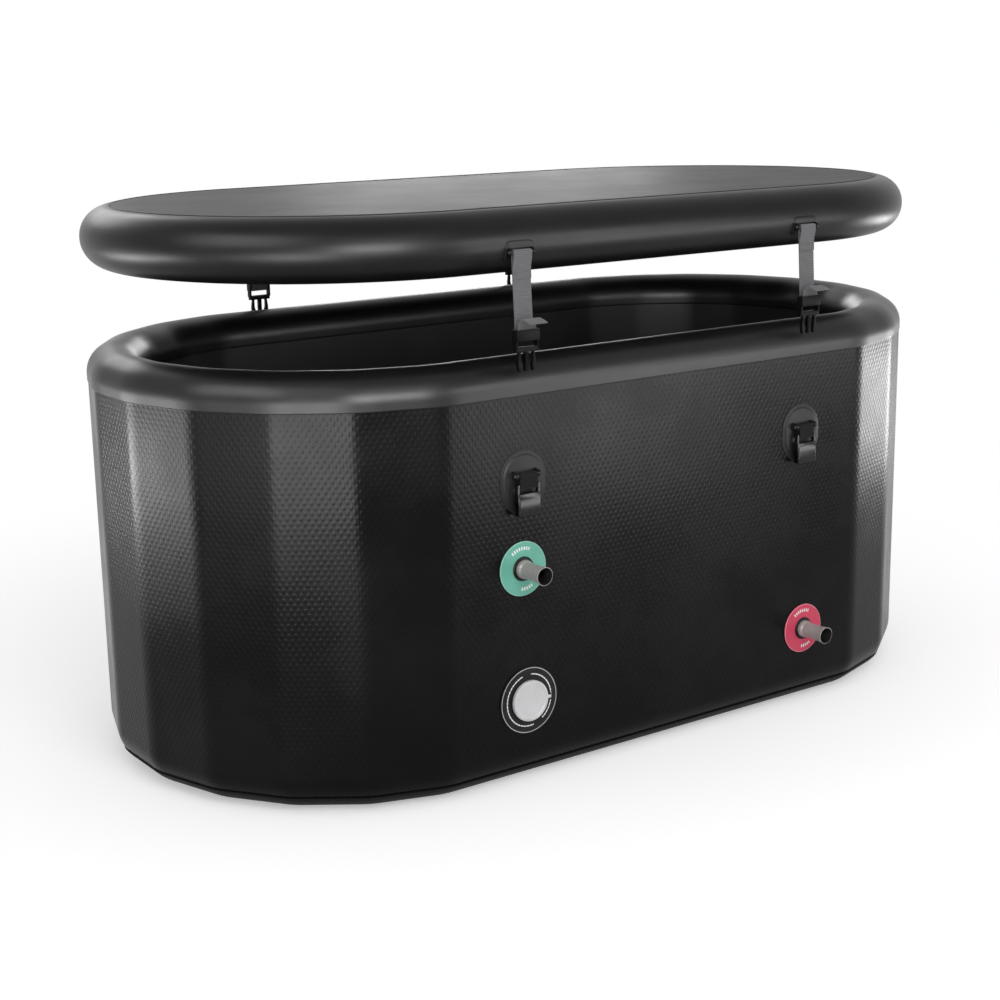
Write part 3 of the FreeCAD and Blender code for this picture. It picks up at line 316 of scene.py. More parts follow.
lid_under_pvc = smooth_pvc("lid_under_pvc", (0.01, 0.01, 0.0105), (0.015, 0.015, 0.0158), 0.5, 0.15)
seam_pvc = smooth_pvc("seam_pvc", (0.004, 0.004, 0.0043), (0.007, 0.007, 0.0074), 0.55, 0.15)
patch_pvc = smooth_pvc("patch_pvc", (0.009, 0.009, 0.0095), (0.013, 0.013, 0.0138), 0.45, 0.12)
webbing = woven("webbing", (0.09, 0.09, 0.095), (0.17, 0.17, 0.178), WARP, WEFT, WEAVE_DEPTH)
loop_webbing = woven(
    "loop_webbing", (0.006, 0.006, 0.0064), (0.016, 0.016, 0.017), WARP, WEFT, WEAVE_DEPTH, LOOP_SHEEN
)
thread = woven(
    "thread", (0.05, 0.05, 0.053), (0.12, 0.12, 0.125), THREAD_WARP, THREAD_WEFT, THREAD_DEPTH
)
socket_plastic = moulded("socket_plastic", BUCKLE_BLACK, BUCKLE_WORN, 0.24, 0.2, uneven=BUCKLE_UNEVEN)
tongue_plastic = moulded("tongue_plastic", BUCKLE_BLACK, BUCKLE_WORN, 0.4, 0.04, uneven=BUCKLE_UNEVEN)
fitting_plastic = moulded("fitting_plastic", FITTING_BLACK, FITTING_WORN, 0.42, 0.12)
valve_plastic = moulded("valve_plastic", (0.62, 0.62, 0.63), (0.52, 0.52, 0.53), 0.38, 0.2)
soft_rubber = moulded("soft_rubber", (0.018, 0.018, 0.0185), (0.03, 0.03, 0.031), 0.65, 0.3, 0.00012)
pin_steel = steel("pin_steel", 0.42)
spring_steel = steel("spring_steel", 0.6)

# Printed marks: a pale edge line and plain dashes on the port discs, rings on the valve flange
MARK_WHITE = (0.8, 0.8, 0.8)
MARK_GREY = (0.5, 0.5, 0.5)
DASHES = 44 / (2 * math.pi)
SHORT_DASH, LONG_DASH = 0.28, 0.44

# Radius and width of each ring of marks
DISC_EDGE, DISC_MARKS = (40.9 * MM, 0.9 * MM), (31 * MM, 5 * MM)
FLANGE_RING, FLANGE_MARKS = (50.3 * MM, 1.1 * MM), (40.5 * MM, 1.8 * MM)

# Angle that each run of dashes faces, and its spread to both sides
DISC_RUNS = ((100, 32), (-80, 20))
FLANGE_RUNS = ((143, 37), (-129.5, 50.5), (15, 69))

# Painted shade in the bores of the spouts: a near-black colour inside a radius, standing in for the shade
# deep in the tube
BORE_MOUTH, BORE_INSIDE, BORE_TAPER = 13.4 * MM, 11 * MM, 16 * MM
BORE_PAINTED_SHADE = (0.008, 0.008, 0.008)


def dashed_arc(finish, middle, marks, run, reach):
    """Plain dashes along part of a ring, each reaching a share of the beat to both sides."""
    ring, angle = finish.ring_mask(middle, *marks)
    facing, spread = (math.radians(part) for part in run)
    window = finish.math("COMPARE", angle, facing, spread)
    beat = finish.math("FRACT", finish.math("MULTIPLY", angle, DASHES))
    dash = finish.math("COMPARE", beat, 0.5, reach)
    finish.tint(finish.math("MULTIPLY", finish.math("MULTIPLY", ring, window), dash), MARK_WHITE)


def node_middle(node):
    """Middle of a node's box."""
    low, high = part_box(node)
    return (low + high) / 2


def disc_plastic(name, node, colour, worn, pale):
    """Coloured disc with a thin pale edge and plain dashes above and below its middle."""
    made = moulded(name, colour, worn, 0.42, 0.15)
    middle = node_middle(node)
    edge, _ = made.ring_mask(middle, *DISC_EDGE)
    made.tint(edge, pale)
    for run in DISC_RUNS:
        dashed_arc(made, middle, DISC_MARKS, run, SHORT_DASH)
    return made


def flange_plastic(name, node):
    """Black flange with a thin grey ring and three broken white arcs inside it."""
    made = moulded(name, FITTING_BLACK, FITTING_WORN, 0.45, 0.12)
    middle = node_middle(node)
    ring, _ = made.ring_mask(middle, *FLANGE_RING)
    made.tint(ring, MARK_GREY)
    for run in FLANGE_RUNS:
        dashed_arc(made, middle, FLANGE_MARKS, run, LONG_DASH)
    return made


def spout_plastic(name, node):
    """Grey tube with painted shade in its bore: near-black lies within a radius that widens smoothly
    towards the mouth.
    """
    made = moulded(name, (0.4, 0.37, 0.36), (0.3, 0.27, 0.265), 0.35)
    middle, mouth = node_middle(node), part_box(node)[0].y
    x, y, z = made.coords("Object")
    distance = made.distance(made.math("SUBTRACT", x, middle.x), made.math("SUBTRACT", z, middle.z))
    bore = made.fit(y, mouth, mouth + BORE_TAPER, BORE_MOUTH, BORE_INSIDE)
    # painted shade: the grey plastic inside the bore is coloured near-black where the deep tube would only
    # lie in shade
    made.tint(made.math("LESS_THAN", distance, bore), BORE_PAINTED_SHADE)
    return made


GREEN, GREEN_WORN, GREEN_EDGE = (0.13, 0.42, 0.32), (0.11, 0.36, 0.28), (0.36, 0.6, 0.52)
RED, RED_WORN, RED_EDGE = (0.6, 0.055, 0.11), (0.5, 0.045, 0.09), (0.7, 0.3, 0.36)
inlet_plastic = disc_plastic("inlet_plastic", "inlet_disc", GREEN, GREEN_WORN, GREEN_EDGE)
outlet_plastic = disc_plastic("outlet_plastic", "outlet_disc", RED, RED_WORN, RED_EDGE)
wall_flange = flange_plastic("wall_flange", "wall_valve_flange")


# Meshes from grids of points
JOIN_WITHIN = 1e-6
HOLE_SEGMENTS = 64
SHEET_SHARP = 40


def lengths(points, axis):
    """Running length along one direction of a grid, closed back to its start."""
    steps = np.linalg.norm(np.roll(points, -1, axis) - points, axis=2)
    return np.concatenate([[0.0], np.cumsum(steps.max(axis=1 - axis))])


def grid_surface(points, wrap):
    """Quads over a grid of points, with lengths along both directions as texture coordinates."""
    rows, columns = points.shape[:2]
    row_quads = rows if wrap[0] else rows - 1
    column_quads = columns if wrap[1] else columns - 1
    i, j = np.meshgrid(np.arange(row_quads), np.arange(column_quads), indexing="ij")
    along, across = lengths(points, 0), lengths(points, 1)
    corners = [(i, j), (i + 1, j), (i + 1, j + 1), (i, j + 1)]
    faces = np.stack([(a % rows) * columns + b % columns for a, b in corners], -1)
    uv = np.stack([np.stack([along[a], across[b]], -1) for a, b in corners], -2)
    return points.reshape(-1, 3), faces.reshape(-1, 4), uv.reshape(-1, 2)


def add_piece(name, surfaces, finish, body, replaces=()):
    """One object from several grid surfaces: doubles are merged, normals turned outwards."""
    starts = np.cumsum([0] + [len(points) for points, _, _ in surfaces])
    mesh = bpy.data.meshes.new(name)
    mesh.from_pydata(
        np.concatenate([points for points, _, _ in surfaces]),
        [],
        np.concatenate([faces + start for (_, faces, _), start in zip(surfaces, starts)]),
    )
    layer = mesh.uv_layers.new(name="UVMap")
    layer.data.foreach_set("uv", np.concatenate([uv for _, _, uv in surfaces]).ravel())
    shell = bmesh.new()
    shell.from_mesh(mesh)
    bmesh.ops.remove_doubles(shell, verts=shell.verts, dist=JOIN_WITHIN)
    bmesh.ops.recalc_face_normals(shell, faces=shell.faces)
    shell.to_mesh(mesh)
    shell.free()
    return finish_piece(name, mesh, finish, body, replaces, SHEET_SHARP)


def finish_piece(name, mesh, finish, body, replaces, sharp):
    """Smooth a mesh up to its sharp edges, give it its finish and hang it on its body."""
    mesh.shade_smooth()
    mesh.set_sharp_from_angle(angle=math.radians(sharp))
    mesh.materials.append(finish.material)
    piece = bpy.data.objects.new(name, mesh)
    bpy.context.scene.collection.objects.link(piece)
    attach(piece, body)
    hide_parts(*replaces)
    return piece


def drill(piece, holes):
    """Cut round holes, each a centre, an axis, a radius and a depth, through a piece."""
    cutters = []
    for centre, axis, radius, depth in holes:
        turn = Vector((0, 0, 1)).rotation_difference(Vector(axis)).to_matrix().to_4x4()
        tool = bmesh.new()
        bmesh.ops.create_cone(
            tool,
            cap_ends=True,
            segments=HOLE_SEGMENTS,
            radius1=radius,
            radius2=radius,
            depth=depth,
            matrix=Matrix.Translation(centre) @ turn,
        )
        mesh = bpy.data.meshes.new("cutter")
        tool.to_mesh(mesh)
        tool.free()
        cutter = bpy.data.objects.new("cutter", mesh)
        bpy.context.scene.collection.objects.link(cutter)
        cut = piece.modifiers.new("hole", "BOOLEAN")
        cut.operation = "DIFFERENCE"
        cut.solver = "EXACT"
        cut.object = cutter
        cutters.append(cutter)
    bpy.context.view_layer.update()
    whole = piece.evaluated_get(bpy.context.evaluated_depsgraph_get())
    drilled = bpy.data.meshes.new_from_object(whole)
    piece.modifiers.clear()
    piece.data = drilled
    for cutter in cutters:
        bpy.data.objects.remove(cutter)


def arc(centre, radius, start, end, steps):
    """Points on a circle from one angle to another, in degrees."""
    angle = np.radians(np.linspace(start, end, steps))
    return np.stack([centre[0] + radius * np.cos(angle), centre[1] + radius * np.sin(angle)], -1)


def line(start, end, steps):
    """Points along a straight run, its last point left out."""
    share = np.arange(steps)[:, None] / steps
    return np.array(start) + (np.array(end) - np.array(start)) * share


def smoothstep(value):
    """0 below 0, 1 above 1, and a smooth climb between."""
    share = np.clip(value, 0, 1)
    return share * share * (3 - 2 * share)


# Plans: a point is spine + radius * reach + crease radius * soften
def unit(angle):
    """Points on a circle of radius 1: the cosine and the sine of each angle."""
    return np.stack([np.cos(angle), np.sin(angle)], -1)


def tub_plan(flat_steps=16, crease_steps=8):
    """Faceted plan of the tub. Each crease is an arc about a corner of the drawn-in polygon, and the
    flat after it runs straight to the next crease. It starts at the middle of the back wall."""
    panel = np.arange(PANELS)
    facing = panel * FACET_TURN - math.pi / 2
    spine = np.stack([np.where(panel < PANELS // 2, END, -END), np.zeros(PANELS)], -1)
    reach = unit(facing + FACET_TURN / 2) / math.cos(FACET_TURN / 2)
    turn = facing[:, None] + FACET_TURN * np.linspace(0, 1, crease_steps + 1)
    bends = [np.broadcast_to(part[:, None], turn.shape + (2,)) for part in (spine, reach)]
    bends.append(unit(turn) - bends[1])
    share = (np.arange(1, flat_steps) / flat_steps)[None, :, None]
    blocks = []
    for bend in bends:
        start, end = bend[:, -1:], np.roll(bend[:, :1], -1, 0)
        blocks.append(np.concatenate([bend, start + (end - start) * share], 1).reshape(-1, 2))
    block = crease_steps + flat_steps
    back_middle = FACETS * block + crease_steps + flat_steps // 2
    return [np.roll(part, -back_middle, 0) for part in blocks]


def lid_plan(straight_steps=48, arc_steps=96):
    """Smooth plan of the lid: two half circles joined by straight sides."""
    half = np.linspace(-math.pi / 2, math.pi / 2, arc_steps + 1)
    share = (np.arange(1, straight_steps) / straight_steps)[:, None]
    right, left = np.array([END, 0.0]), np.array([-END, 0.0])
    spine = np.concatenate(
        [
            np.broadcast_to(right, (arc_steps + 1, 2)),
            right + (left - right) * share,
            np.broadcast_to(left, (arc_steps + 1, 2)),
            left + (right - left) * share,
        ]
    )
    sides = np.ones(straight_steps - 1)
    angle = np.concatenate([half, sides * math.pi / 2, half + math.pi, sides * math.pi * 1.5])
    return [spine, unit(angle), np.zeros_like(spine)]


def carried(plan, section, crease=None):
    """A section of (radius, height) points carried round a plan. Where no crease radius is given, it is the
    usual one, or the section's own radius where that is smaller."""
    spine, reach, soften = plan
    radius, height = section[:, 0], section[:, 1]
    crease = np.minimum(radius, CREASE) if crease is None else crease
    flat = spine[:, None] + radius[None, :, None] * reach[:, None]
    flat = flat + crease[None, :, None] * soften[:, None]
    high = np.broadcast_to(height[None, :, None], flat.shape[:2] + (1,))
    return np.concatenate([flat, high], -1)


def closed_ring(plan, section, crease=None):
    """A closed section carried round a plan."""
    return grid_surface(carried(plan, section, crease), (True, True))


def slab(plan, section):
    """A section that starts and ends on the plan's spine, so it makes a whole slab."""
    return grid_surface(carried(plan, section), (True, False))


def slab_section(edge, low, high, soft, steps=5, rings=6):
    """From the middle of the underside out, round the edge and back to the middle of the top."""
    outward = line((0, low), (edge - soft, low), rings)
    under = arc((edge - soft, low + soft), soft, -90, 0, steps)
    over = arc((edge - soft, high - soft), soft, 0, 90, steps)
    inward = line((edge - soft, high), (0, high), rings)[1:]
    return np.concatenate([outward, under, over, inward, [(0, high)]])


# Tub wall
TUB = tub_plan()
PORT_HOLE, PORT_DEPTH = 14.2 * MM, 2.5 * WALL
VALVE_HOLE, VALVE_DEPTH = 24.2 * MM, 0.5 * WALL
FOOT_STEPS, FACE_STEPS = 16, 12
LIP_STEPS, RIM_SIDE_STEPS, RIM_STEPS, RIM_BACK_STEPS = 7, 4, 40, 24
BASE_START, BASE_END = -84, -36
MAT_SOFT, FLOOR_SOFT, WELD_SOFT = 0.5 * MM, 10 * MM, 0.5 * MM
WELD_POWER = 12
SOFT_TURNS = (0.5, 1.0, math.pi / 2)


def wall_hole(node, radius, depth):
    """A hole into the front wall behind a fitting."""
    middle = node_middle(node)
    return (middle.x, -SKIN_FACE, middle.z), (0, 1, 0), radius, depth


def make_tub():
    """Outer and inner skin, rim band, base band, base sheet, floor and the weld strip at the back."""
    foot = FOOT - BAND - GAP
    outer = np.concatenate(
        [
            arc((FOOT_MID, FOOT), foot, -90, 0, FOOT_STEPS),
            line((SKIN_FACE, FOOT), (SKIN_FACE, RIM_CENTRE), FACE_STEPS)[1:],
            [(SKIN_FACE, RIM_CENTRE), (SKIN_FACE - SKIN, RIM_CENTRE)],
            arc((FOOT_MID, FOOT), foot - SKIN, 0, -90, FOOT_STEPS),
        ]
    )
    hidden = ("wall_outer_skin", "wall_core")
    skin = add_piece("outer_skin", [closed_ring(TUB, outer)], outer_pvc, "tub", hidden)
    port_holes = [wall_hole(node, PORT_HOLE, PORT_DEPTH) for node in ("inlet_disc", "outlet_disc")]
    drill(skin, port_holes + [wall_hole("wall_valve_nut", VALVE_HOLE, VALVE_DEPTH)])

    foot_low = FOOT - foot + SKIN
    inner = np.array(
        [
            (LINER_FACE + SKIN, foot_low),
            (LINER_FACE + SKIN, RIM_CENTRE),
            (LINER_FACE, RIM_CENTRE),
            (LINER_FACE, foot_low),
        ]
    )
    lining = [closed_ring(TUB, inner)]
    liner = add_piece("inner_skin", lining, liner_pvc, "tub", ("wall_inner_skin",))
    drill(liner, port_holes)

    lip = BAND / 2
    half = WALL / 2
    rim = np.concatenate(
        [
            arc((HALF_WIDTH - lip, RIM_LIP + lip), lip, -180, 0, LIP_STEPS),
            line((HALF_WIDTH, RIM_LIP + 2 * lip), (HALF_WIDTH, RIM_CENTRE), RIM_SIDE_STEPS),
            arc((RIM_MID, RIM_CENTRE), half, 0, 180, RIM_STEPS),
            line((RIM_MID - half, RIM_CENTRE), (RIM_MID - half, RIM_LIP + lip), RIM_SIDE_STEPS)[1:],
            arc((RIM_MID - half + lip, RIM_LIP + lip), lip, 180, 360, LIP_STEPS),
            arc((RIM_MID, RIM_CENTRE), half - BAND, 180, 0, RIM_BACK_STEPS),
        ]
    )
    outward = smoothstep((rim[:, 0] - RIM_MID + half) / WALL)
    crease = RIM_INNER_CREASE + (RIM_CREASE - RIM_INNER_CREASE) * outward
    add_piece("rim", [closed_ring(TUB, rim, crease)], rim_pvc, "tub", ("rim_band",))

    base = np.concatenate(
        [
            arc((FOOT_MID, FOOT), FOOT, BASE_START, BASE_END, FOOT_STEPS),
            arc((FOOT_MID, FOOT), FOOT - BAND, BASE_END, BASE_START, FOOT_STEPS),
        ]
    )
    add_piece("base_wrap", [closed_ring(TUB, base)], base_pvc, "tub", ("base_band",))

    sheet_low, sheet_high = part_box("base_sheet")
    sheet = slab_section(sheet_high.y, sheet_low.z, sheet_high.z, MAT_SOFT)
    add_piece("base_mat", [slab(TUB, sheet)], base_pvc, "tub", ("base_sheet",))
    floor_low, floor_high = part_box("floor_panel")
    floor = slab_section(floor_high.y, floor_low.z, floor_high.z, FLOOR_SOFT)
    add_piece("floor_mat", [slab(TUB, floor)], floor_pvc, "tub", ("floor_panel",))

    low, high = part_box("wall_seam_strip")
    outline = box_loop((high.x - low.x) / 2, (high.z - low.z) / 2, WELD_POWER)
    strip = rounded_plate(outline, high.y - low.y, WELD_SOFT)
    middle = (low + high) / 2
    strip = np.stack([strip[..., 0] + middle.x, strip[..., 2] + low.y, strip[..., 1] + middle.z], -1)
    weld = [grid_surface(strip, (True, False))]
    add_piece("back_weld", weld, rim_pvc, "tub", ("wall_seam_strip",))


def box_loop(half_wide, half_high, power, steps=96):
    """Rounded rectangle as a superellipse: a high power has tight corners."""
    angle = np.linspace(0, 2 * math.pi, steps, endpoint=False)
    cosine, sine = np.cos(angle), np.sin(angle)
    x = np.sign(cosine) * np.abs(cosine) ** (2 / power)
    y = np.sign(sine) * np.abs(sine) ** (2 / power)
    return np.stack([half_wide * x, half_high * y], -1)


def rounded_plate(loop, thick, soft):
    """A flat outline carried up through a thickness, its upper rim a quarter circle and both faces closed.
    Each row is the share shut towards the middle, the distance drawn in and the height."""
    middle = loop.mean(0)
    reach = np.linalg.norm(loop - middle, axis=1, keepdims=True)
    inset = (loop - middle) / reach
    side = thick - soft
    rows = [(1.0, 0.0, 0.0), (0.0, 0.0, 0.0), (0.0, 0.0, side)]
    rows += [(0.0, soft * (1 - math.cos(turn)), side + soft * math.sin(turn)) for turn in SOFT_TURNS]
    rows += [(0.0, 2 * soft, thick), (1.0, 0.0, thick)]
    grid = [
        np.concatenate(
            [middle + (loop - middle - inset * back) * (1 - shut), np.full((len(loop), 1), height)], 1
        )
        for shut, back, height in rows
    ]
    return np.stack(grid, 1)


# Lid
LID = lid_plan()
LID_SOFT = 0.4 * MM
LID_RINGS = 12
LID_STEPS, LID_BACK_STEPS, BEAD_STEPS = 24, 32, 9
LID_VALVE_DEPTH = 0.5 * LID_ROUND
BEAD_RISE = 2 / 3


def make_lid():
    """Top and bottom panel, bulged side band and the seam bead."""
    top = [slab(LID, slab_section(LID_PANEL, LID_TOP - LID_SKIN, LID_TOP, LID_SOFT, rings=LID_RINGS))]
    add_piece("lid_top", top, lid_top_pvc, "lid", ("lid_top_panel", "lid_core"))
    under = slab_section(LID_PANEL, LID_BOTTOM, LID_BOTTOM + LID_SKIN, LID_SOFT, rings=LID_RINGS)
    panel = [slab(LID, under)]
    bottom = add_piece("lid_under", panel, lid_under_pvc, "lid", ("lid_bottom_panel",))
    valve = node_middle("lid_valve_nut")
    drill(bottom, [((valve.x, valve.y, LID_BOTTOM), (0, 0, 1), VALVE_HOLE, LID_VALVE_DEPTH)])
    middle = (LID_BOTTOM + LID_TOP) / 2
    centre = LID_EDGE - LID_ROUND
    band = np.concatenate(
        [
            arc((centre, LID_BOTTOM + LID_ROUND), LID_ROUND, -90, 0, LID_STEPS),
            arc((centre, LID_TOP - LID_ROUND), LID_ROUND, 0, 90, LID_STEPS),
            arc((centre, middle), LID_TOP - middle - LID_SKIN, 90, -90, LID_BACK_STEPS),
        ]
    )
    add_piece("lid_side", [closed_ring(LID, band)], lid_side_pvc, "lid", ("lid_side_band",))
    bead = arc((LID_PANEL - BEAD_WIDTH / 2, LID_TOP), BEAD_WIDTH / 2, 0, 180, BEAD_STEPS)
    bead[:, 1] = LID_TOP + (bead[:, 1] - LID_TOP) * BEAD_RISE
    add_piece("lid_seam", [closed_ring(LID, bead)], seam_pvc, "lid", ("lid_seam_bead",))


# Straps, loops and patches
FLAP_LOW, FLAP_OPEN, FLAP_HIGH = -38 * MM, -26 * MM, -4 * MM
SEAM_HALF_WIDTH, SEAM_LOW, SEAM_HIGH = 12 * MM, -36 * MM, -28 * MM
STITCH_STEP, STITCH_THIN, STITCH_LONG = 3.2 * MM, 0.35 * MM, 1.25 * MM
STITCH_SIDES, STITCH_ROWS = 8, 6
FLAP_STEPS, BEND_STEPS, RUN_STEPS, SHORT_STEPS, TAIL_STEPS = 18, 14, 30, 6, 12
TAIL_DROOP = 0.1
LUG_END, LUG_SOFT, LUG_SINK, LUG_HUG = 4.5 * MM, 0.7 * MM, 0.5 * MM, 0.7 * MM
LUG_END_STEPS, LUG_SIDE_STEPS, LUG_BACK_STEPS = 20, 6, 8
PATCH_STEPS, LID_PATCH_POWER = 40, 6

# Rows of the patches from back to front: share of the outline's size, and height in millimetres
WALL_PATCH_ROWS = [(0.0, 0.0), (1.0, 0.0), (1.0, 0.7), (0.985, 1.1), (0.9, 1.2)]
WALL_PATCH_ROWS += [(0.875, 1.7), (0.85, 2.6), (0.82, 3.0), (0.0, 3.0)]
LID_PATCH_ROWS = [(0.0, 0.45), (0.5, 0.45), (1.0, 0.45), (1.0, 0.8), (0.985, 1.2)]
LID_PATCH_ROWS += [(size, 1.4) for size in (0.96, 0.72, 0.48, 0.24, 0.0)]


def webbing_section(steps=28, power=7):
    """Flat oval section of webbing."""
    return box_loop(WEBBING_WIDTH / 2, WEBBING_THICK / 2, power, steps)


def ribbon(route, closed):
    """Webbing carried along a route of (depth, height) points, square to it. Open ends are closed."""
    if closed:
        run = np.roll(route, -1, 0) - np.roll(route, 1, 0)
    else:
        run = np.gradient(route, axis=0)
    run /= np.linalg.norm(run, axis=1, keepdims=True)
    across = np.stack([run[:, 1], -run[:, 0]], -1)
    section = webbing_section()
    flat = route[:, None] + across[:, None] * section[None, :, 1:]
    wide = np.broadcast_to(section[None, :, :1], flat.shape[:2] + (1,))
    grid = np.concatenate([wide, flat], -1)
    if closed:
        return grid
    ends = [np.broadcast_to(grid[row].mean(0), grid[row].shape)[None] for row in (0, -1)]
    return np.concatenate([ends[0], grid, ends[1]])


def run_depth(height):
    """Depth of the strap's middle where it leans from the anchor pin to the tongue's bar."""
    lean = math.radians(STRAP_LEAN)
    return LOOP / math.cos(lean) + height * math.tan(lean)


def strap_route():
    """From the sewn flap over the anchor pin, down, round the tongue's bar and out along the tail."""
    high = np.linspace(FLAP_LOW, FLAP_HIGH, FLAP_STEPS)
    sewn = run_depth(high) - WEBBING_THICK
    opened = smoothstep((high - FLAP_OPEN) / (FLAP_HIGH - FLAP_OPEN))
    flap = np.stack([sewn - (sewn + LOOP) * opened, high], -1)
    over = arc((0, 0), LOOP, 180, -STRAP_LEAN, BEND_STEPS)
    under = arc(STRAP_BAR, LOOP, -STRAP_LEAN, -180, BEND_STEPS)
    down = line(over[-1], under[0], RUN_STEPS)[1:]
    tail_start = under[-1] + np.array([0, TAIL_RISE])
    rise = line(under[-1], tail_start, SHORT_STEPS)[1:]
    bend = arc(tail_start - np.array([TAIL_BEND, 0]), TAIL_BEND, 0, TAIL_TURN, TAIL_STEPS)
    turn = math.radians(TAIL_TURN)
    out = np.linspace(0, 1, TAIL_STEPS)[1:, None]
    droop = np.array([0.0, -TAIL_DROOP]) * TAIL * out**2
    loose = bend[-1] + out * TAIL * np.array([-math.sin(turn), math.cos(turn)]) + droop
    return np.concatenate([flap, over, down, under, rise, bend, loose])


def loop_route():
    """Round the anchor pin and the socket's bar."""
    return np.concatenate(
        [
            arc((0, 0), LOOP, 180, 0, BEND_STEPS),
            line((LOOP, 0), (LOOP, SOCKET_BAR), SHORT_STEPS)[1:],
            arc((0, SOCKET_BAR), LOOP, 0, -180, BEND_STEPS),
            line((-LOOP, SOCKET_BAR), (-LOOP, 0), SHORT_STEPS)[1:],
        ]
    )


def at_pin(points, joint):
    """Carry points from the anchor pin's frame to a joint's pin. On the back wall they face about."""
    pin = np.array(JOINTS[joint]["pos_m"])
    face = 1.0 if pin[1] < 0 else -1.0
    return points * np.array([face, face, 1.0]) + pin


def stitches():
    """Thread stitches round a rectangle on the flap: thin ellipsoids lying on the webbing, level along the
    rectangle's low and high side and upright along the other two."""
    across = np.arange(-SEAM_HALF_WIDTH, SEAM_HALF_WIDTH + STITCH_STEP / 2, STITCH_STEP)
    up = np.arange(SEAM_LOW + STITCH_STEP, SEAM_HIGH - STITCH_STEP / 2, STITCH_STEP)
    sides = np.linspace(0, 2 * math.pi, STITCH_SIDES, endpoint=False)
    around, along = np.meshgrid(sides, np.linspace(0, math.pi, STITCH_ROWS))
    thin = STITCH_THIN * np.sin(along)
    level = np.stack([-STITCH_LONG * np.cos(along), thin * np.cos(around), thin * np.sin(around)], -1)
    upright = level[..., [2, 1, 0]]
    spots = [(level, x, z) for z in (SEAM_LOW, SEAM_HIGH) for x in across]
    spots += [(upright, x, z) for x in (-SEAM_HALF_WIDTH, SEAM_HALF_WIDTH) for z in up]
    lift = 1.5 * WEBBING_THICK
    return [shape + np.array([x, run_depth(z) - lift, z]) for shape, x, z in spots]


def make_straps():
    """Straps with their stitching, and the loops that the sockets hang from."""
    for name in STATIONS:
        strap_body, socket_body = f"strap_{name}", f"socket_{name}"
        swing, flip = f"strap_swing_{name}", f"socket_flip_{name}"
        strap = [grid_surface(at_pin(ribbon(strap_route(), False), swing), (False, True))]
        add_piece(f"webbing_{name}", strap, webbing, strap_body, (f"strap_{name}",))
        sewing = [grid_surface(at_pin(stitch, swing), (False, True)) for stitch in stitches()]
        add_piece(f"stitching_{name}", sewing, thread, strap_body)
        loop = [grid_surface(at_pin(ribbon(loop_route(), True), flip), (True, True))]
        add_piece(f"loop_{name}", loop, loop_webbing, socket_body, (f"socket_loop_{name}",))


def lugs(low_back, high_back):
    """Two rounded ears that carry the anchor pin, each with its back edge on what it stands on."""
    low, high = (low_back, -LUG_ROOT), (high_back, LUG_ROOT)
    outline = np.concatenate(
        [
            arc((0, 0), LUG_END, 90, 270, LUG_END_STEPS),
            line((0, -LUG_END), low, LUG_SIDE_STEPS)[1:],
            line(low, high, LUG_BACK_STEPS),
            line(high, (0, LUG_END), LUG_SIDE_STEPS),
        ]
    )
    plate = rounded_plate(outline, LUG_THICK, LUG_SOFT)
    flat = np.stack([plate[..., 2] - LUG_THICK / 2, plate[..., 0], plate[..., 1]], -1)
    return [flat * np.array([side, 1, 1]) + np.array([side * LUG_MID, 0, 0]) for side in (-1, 1)]


def wall_patch():
    """Welded patch: a thin flat border and a raised middle, with round ends."""
    outline = np.concatenate(
        [
            arc((0, PATCH_STRAIGHT), PATCH_SIDE, 0, 180, PATCH_STEPS),
            arc((0, -PATCH_STRAIGHT), PATCH_SIDE, 180, 360, PATCH_STEPS),
        ]
    )
    grid = []
    for size, out in WALL_PATCH_ROWS:
        depth = np.full(len(outline), STANDOFF - out * MM)
        grid.append(np.stack([outline[:, 0] * size, depth, PATCH_MID + outline[:, 1] * size], -1))
    back = STANDOFF - PATCH_THICK + LUG_SINK
    return [np.stack(grid, 1)] + lugs(back, back)


def lid_patch():
    """Thin patch that hugs the lid's round side below its middle, with its rim softened."""
    pin = JOINTS["strap_swing_front_right"]["pos_m"]
    half_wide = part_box("lid_patches")[1].x - pin[0]
    centre_y = abs(pin[1]) - LID_EDGE + LID_ROUND
    centre_z = (LID_BOTTOM + LID_TOP) / 2 - pin[2]
    top, low = (math.asin((edge - centre_z) / LID_ROUND) for edge in (LID_PATCH_HALF, -LID_PATCH_HALF))
    outline = box_loop(half_wide, (top - low) / 2, LID_PATCH_POWER)
    grid = []
    for size, out in LID_PATCH_ROWS:
        radius, angle = LID_ROUND + out * MM, (top + low) / 2 + outline[:, 1] * size
        depth = centre_y - radius * np.cos(angle)
        grid.append(np.stack([outline[:, 0] * size, depth, centre_z + radius * np.sin(angle)], -1))
    hug = LID_ROUND + LUG_HUG
    backs = [centre_y - math.sqrt(hug**2 - (height - centre_z) ** 2) for height in (-LUG_ROOT, LUG_ROOT)]
    return [np.stack(grid, 1)] + lugs(*backs)


def make_patches():
    """The four wall patches and the four lid patches, each set as one piece."""
    for piece, node, body, joint, shapes, finish in (
        ("wall_patch_set", "wall_patches", "tub", "socket_flip", wall_patch(), patch_pvc),
        ("lid_patch_set", "lid_patches", "lid", "strap_swing", lid_patch(), lid_side_pvc),
    ):
        pins = [f"{joint}_{name}" for name in STATIONS]
        surfaces = [grid_surface(at_pin(shape, pin), (True, False)) for pin in pins for shape in shapes]
        add_piece(piece, surfaces, finish, body, (node,))


# Hard pieces: CAD shapes with softened edges
FLAT_WITHIN, SHARP_OVER = math.radians(1), math.radians(35)
SOFT_SHARP, SPRING_SHARP = 30, 60
BUCKLE_SOFT, CAP_SOFT, NUT_SOFT = 0.6 * MM, 0.35 * MM, 0.5 * MM


def merged(node):
    """A copy of a node's mesh with its loose triangles joined."""
    shell = bmesh.new()
    shell.from_mesh(NODES[node].data)
    bmesh.ops.remove_doubles(shell, verts=shell.verts, dist=JOIN_WITHIN)
    return shell


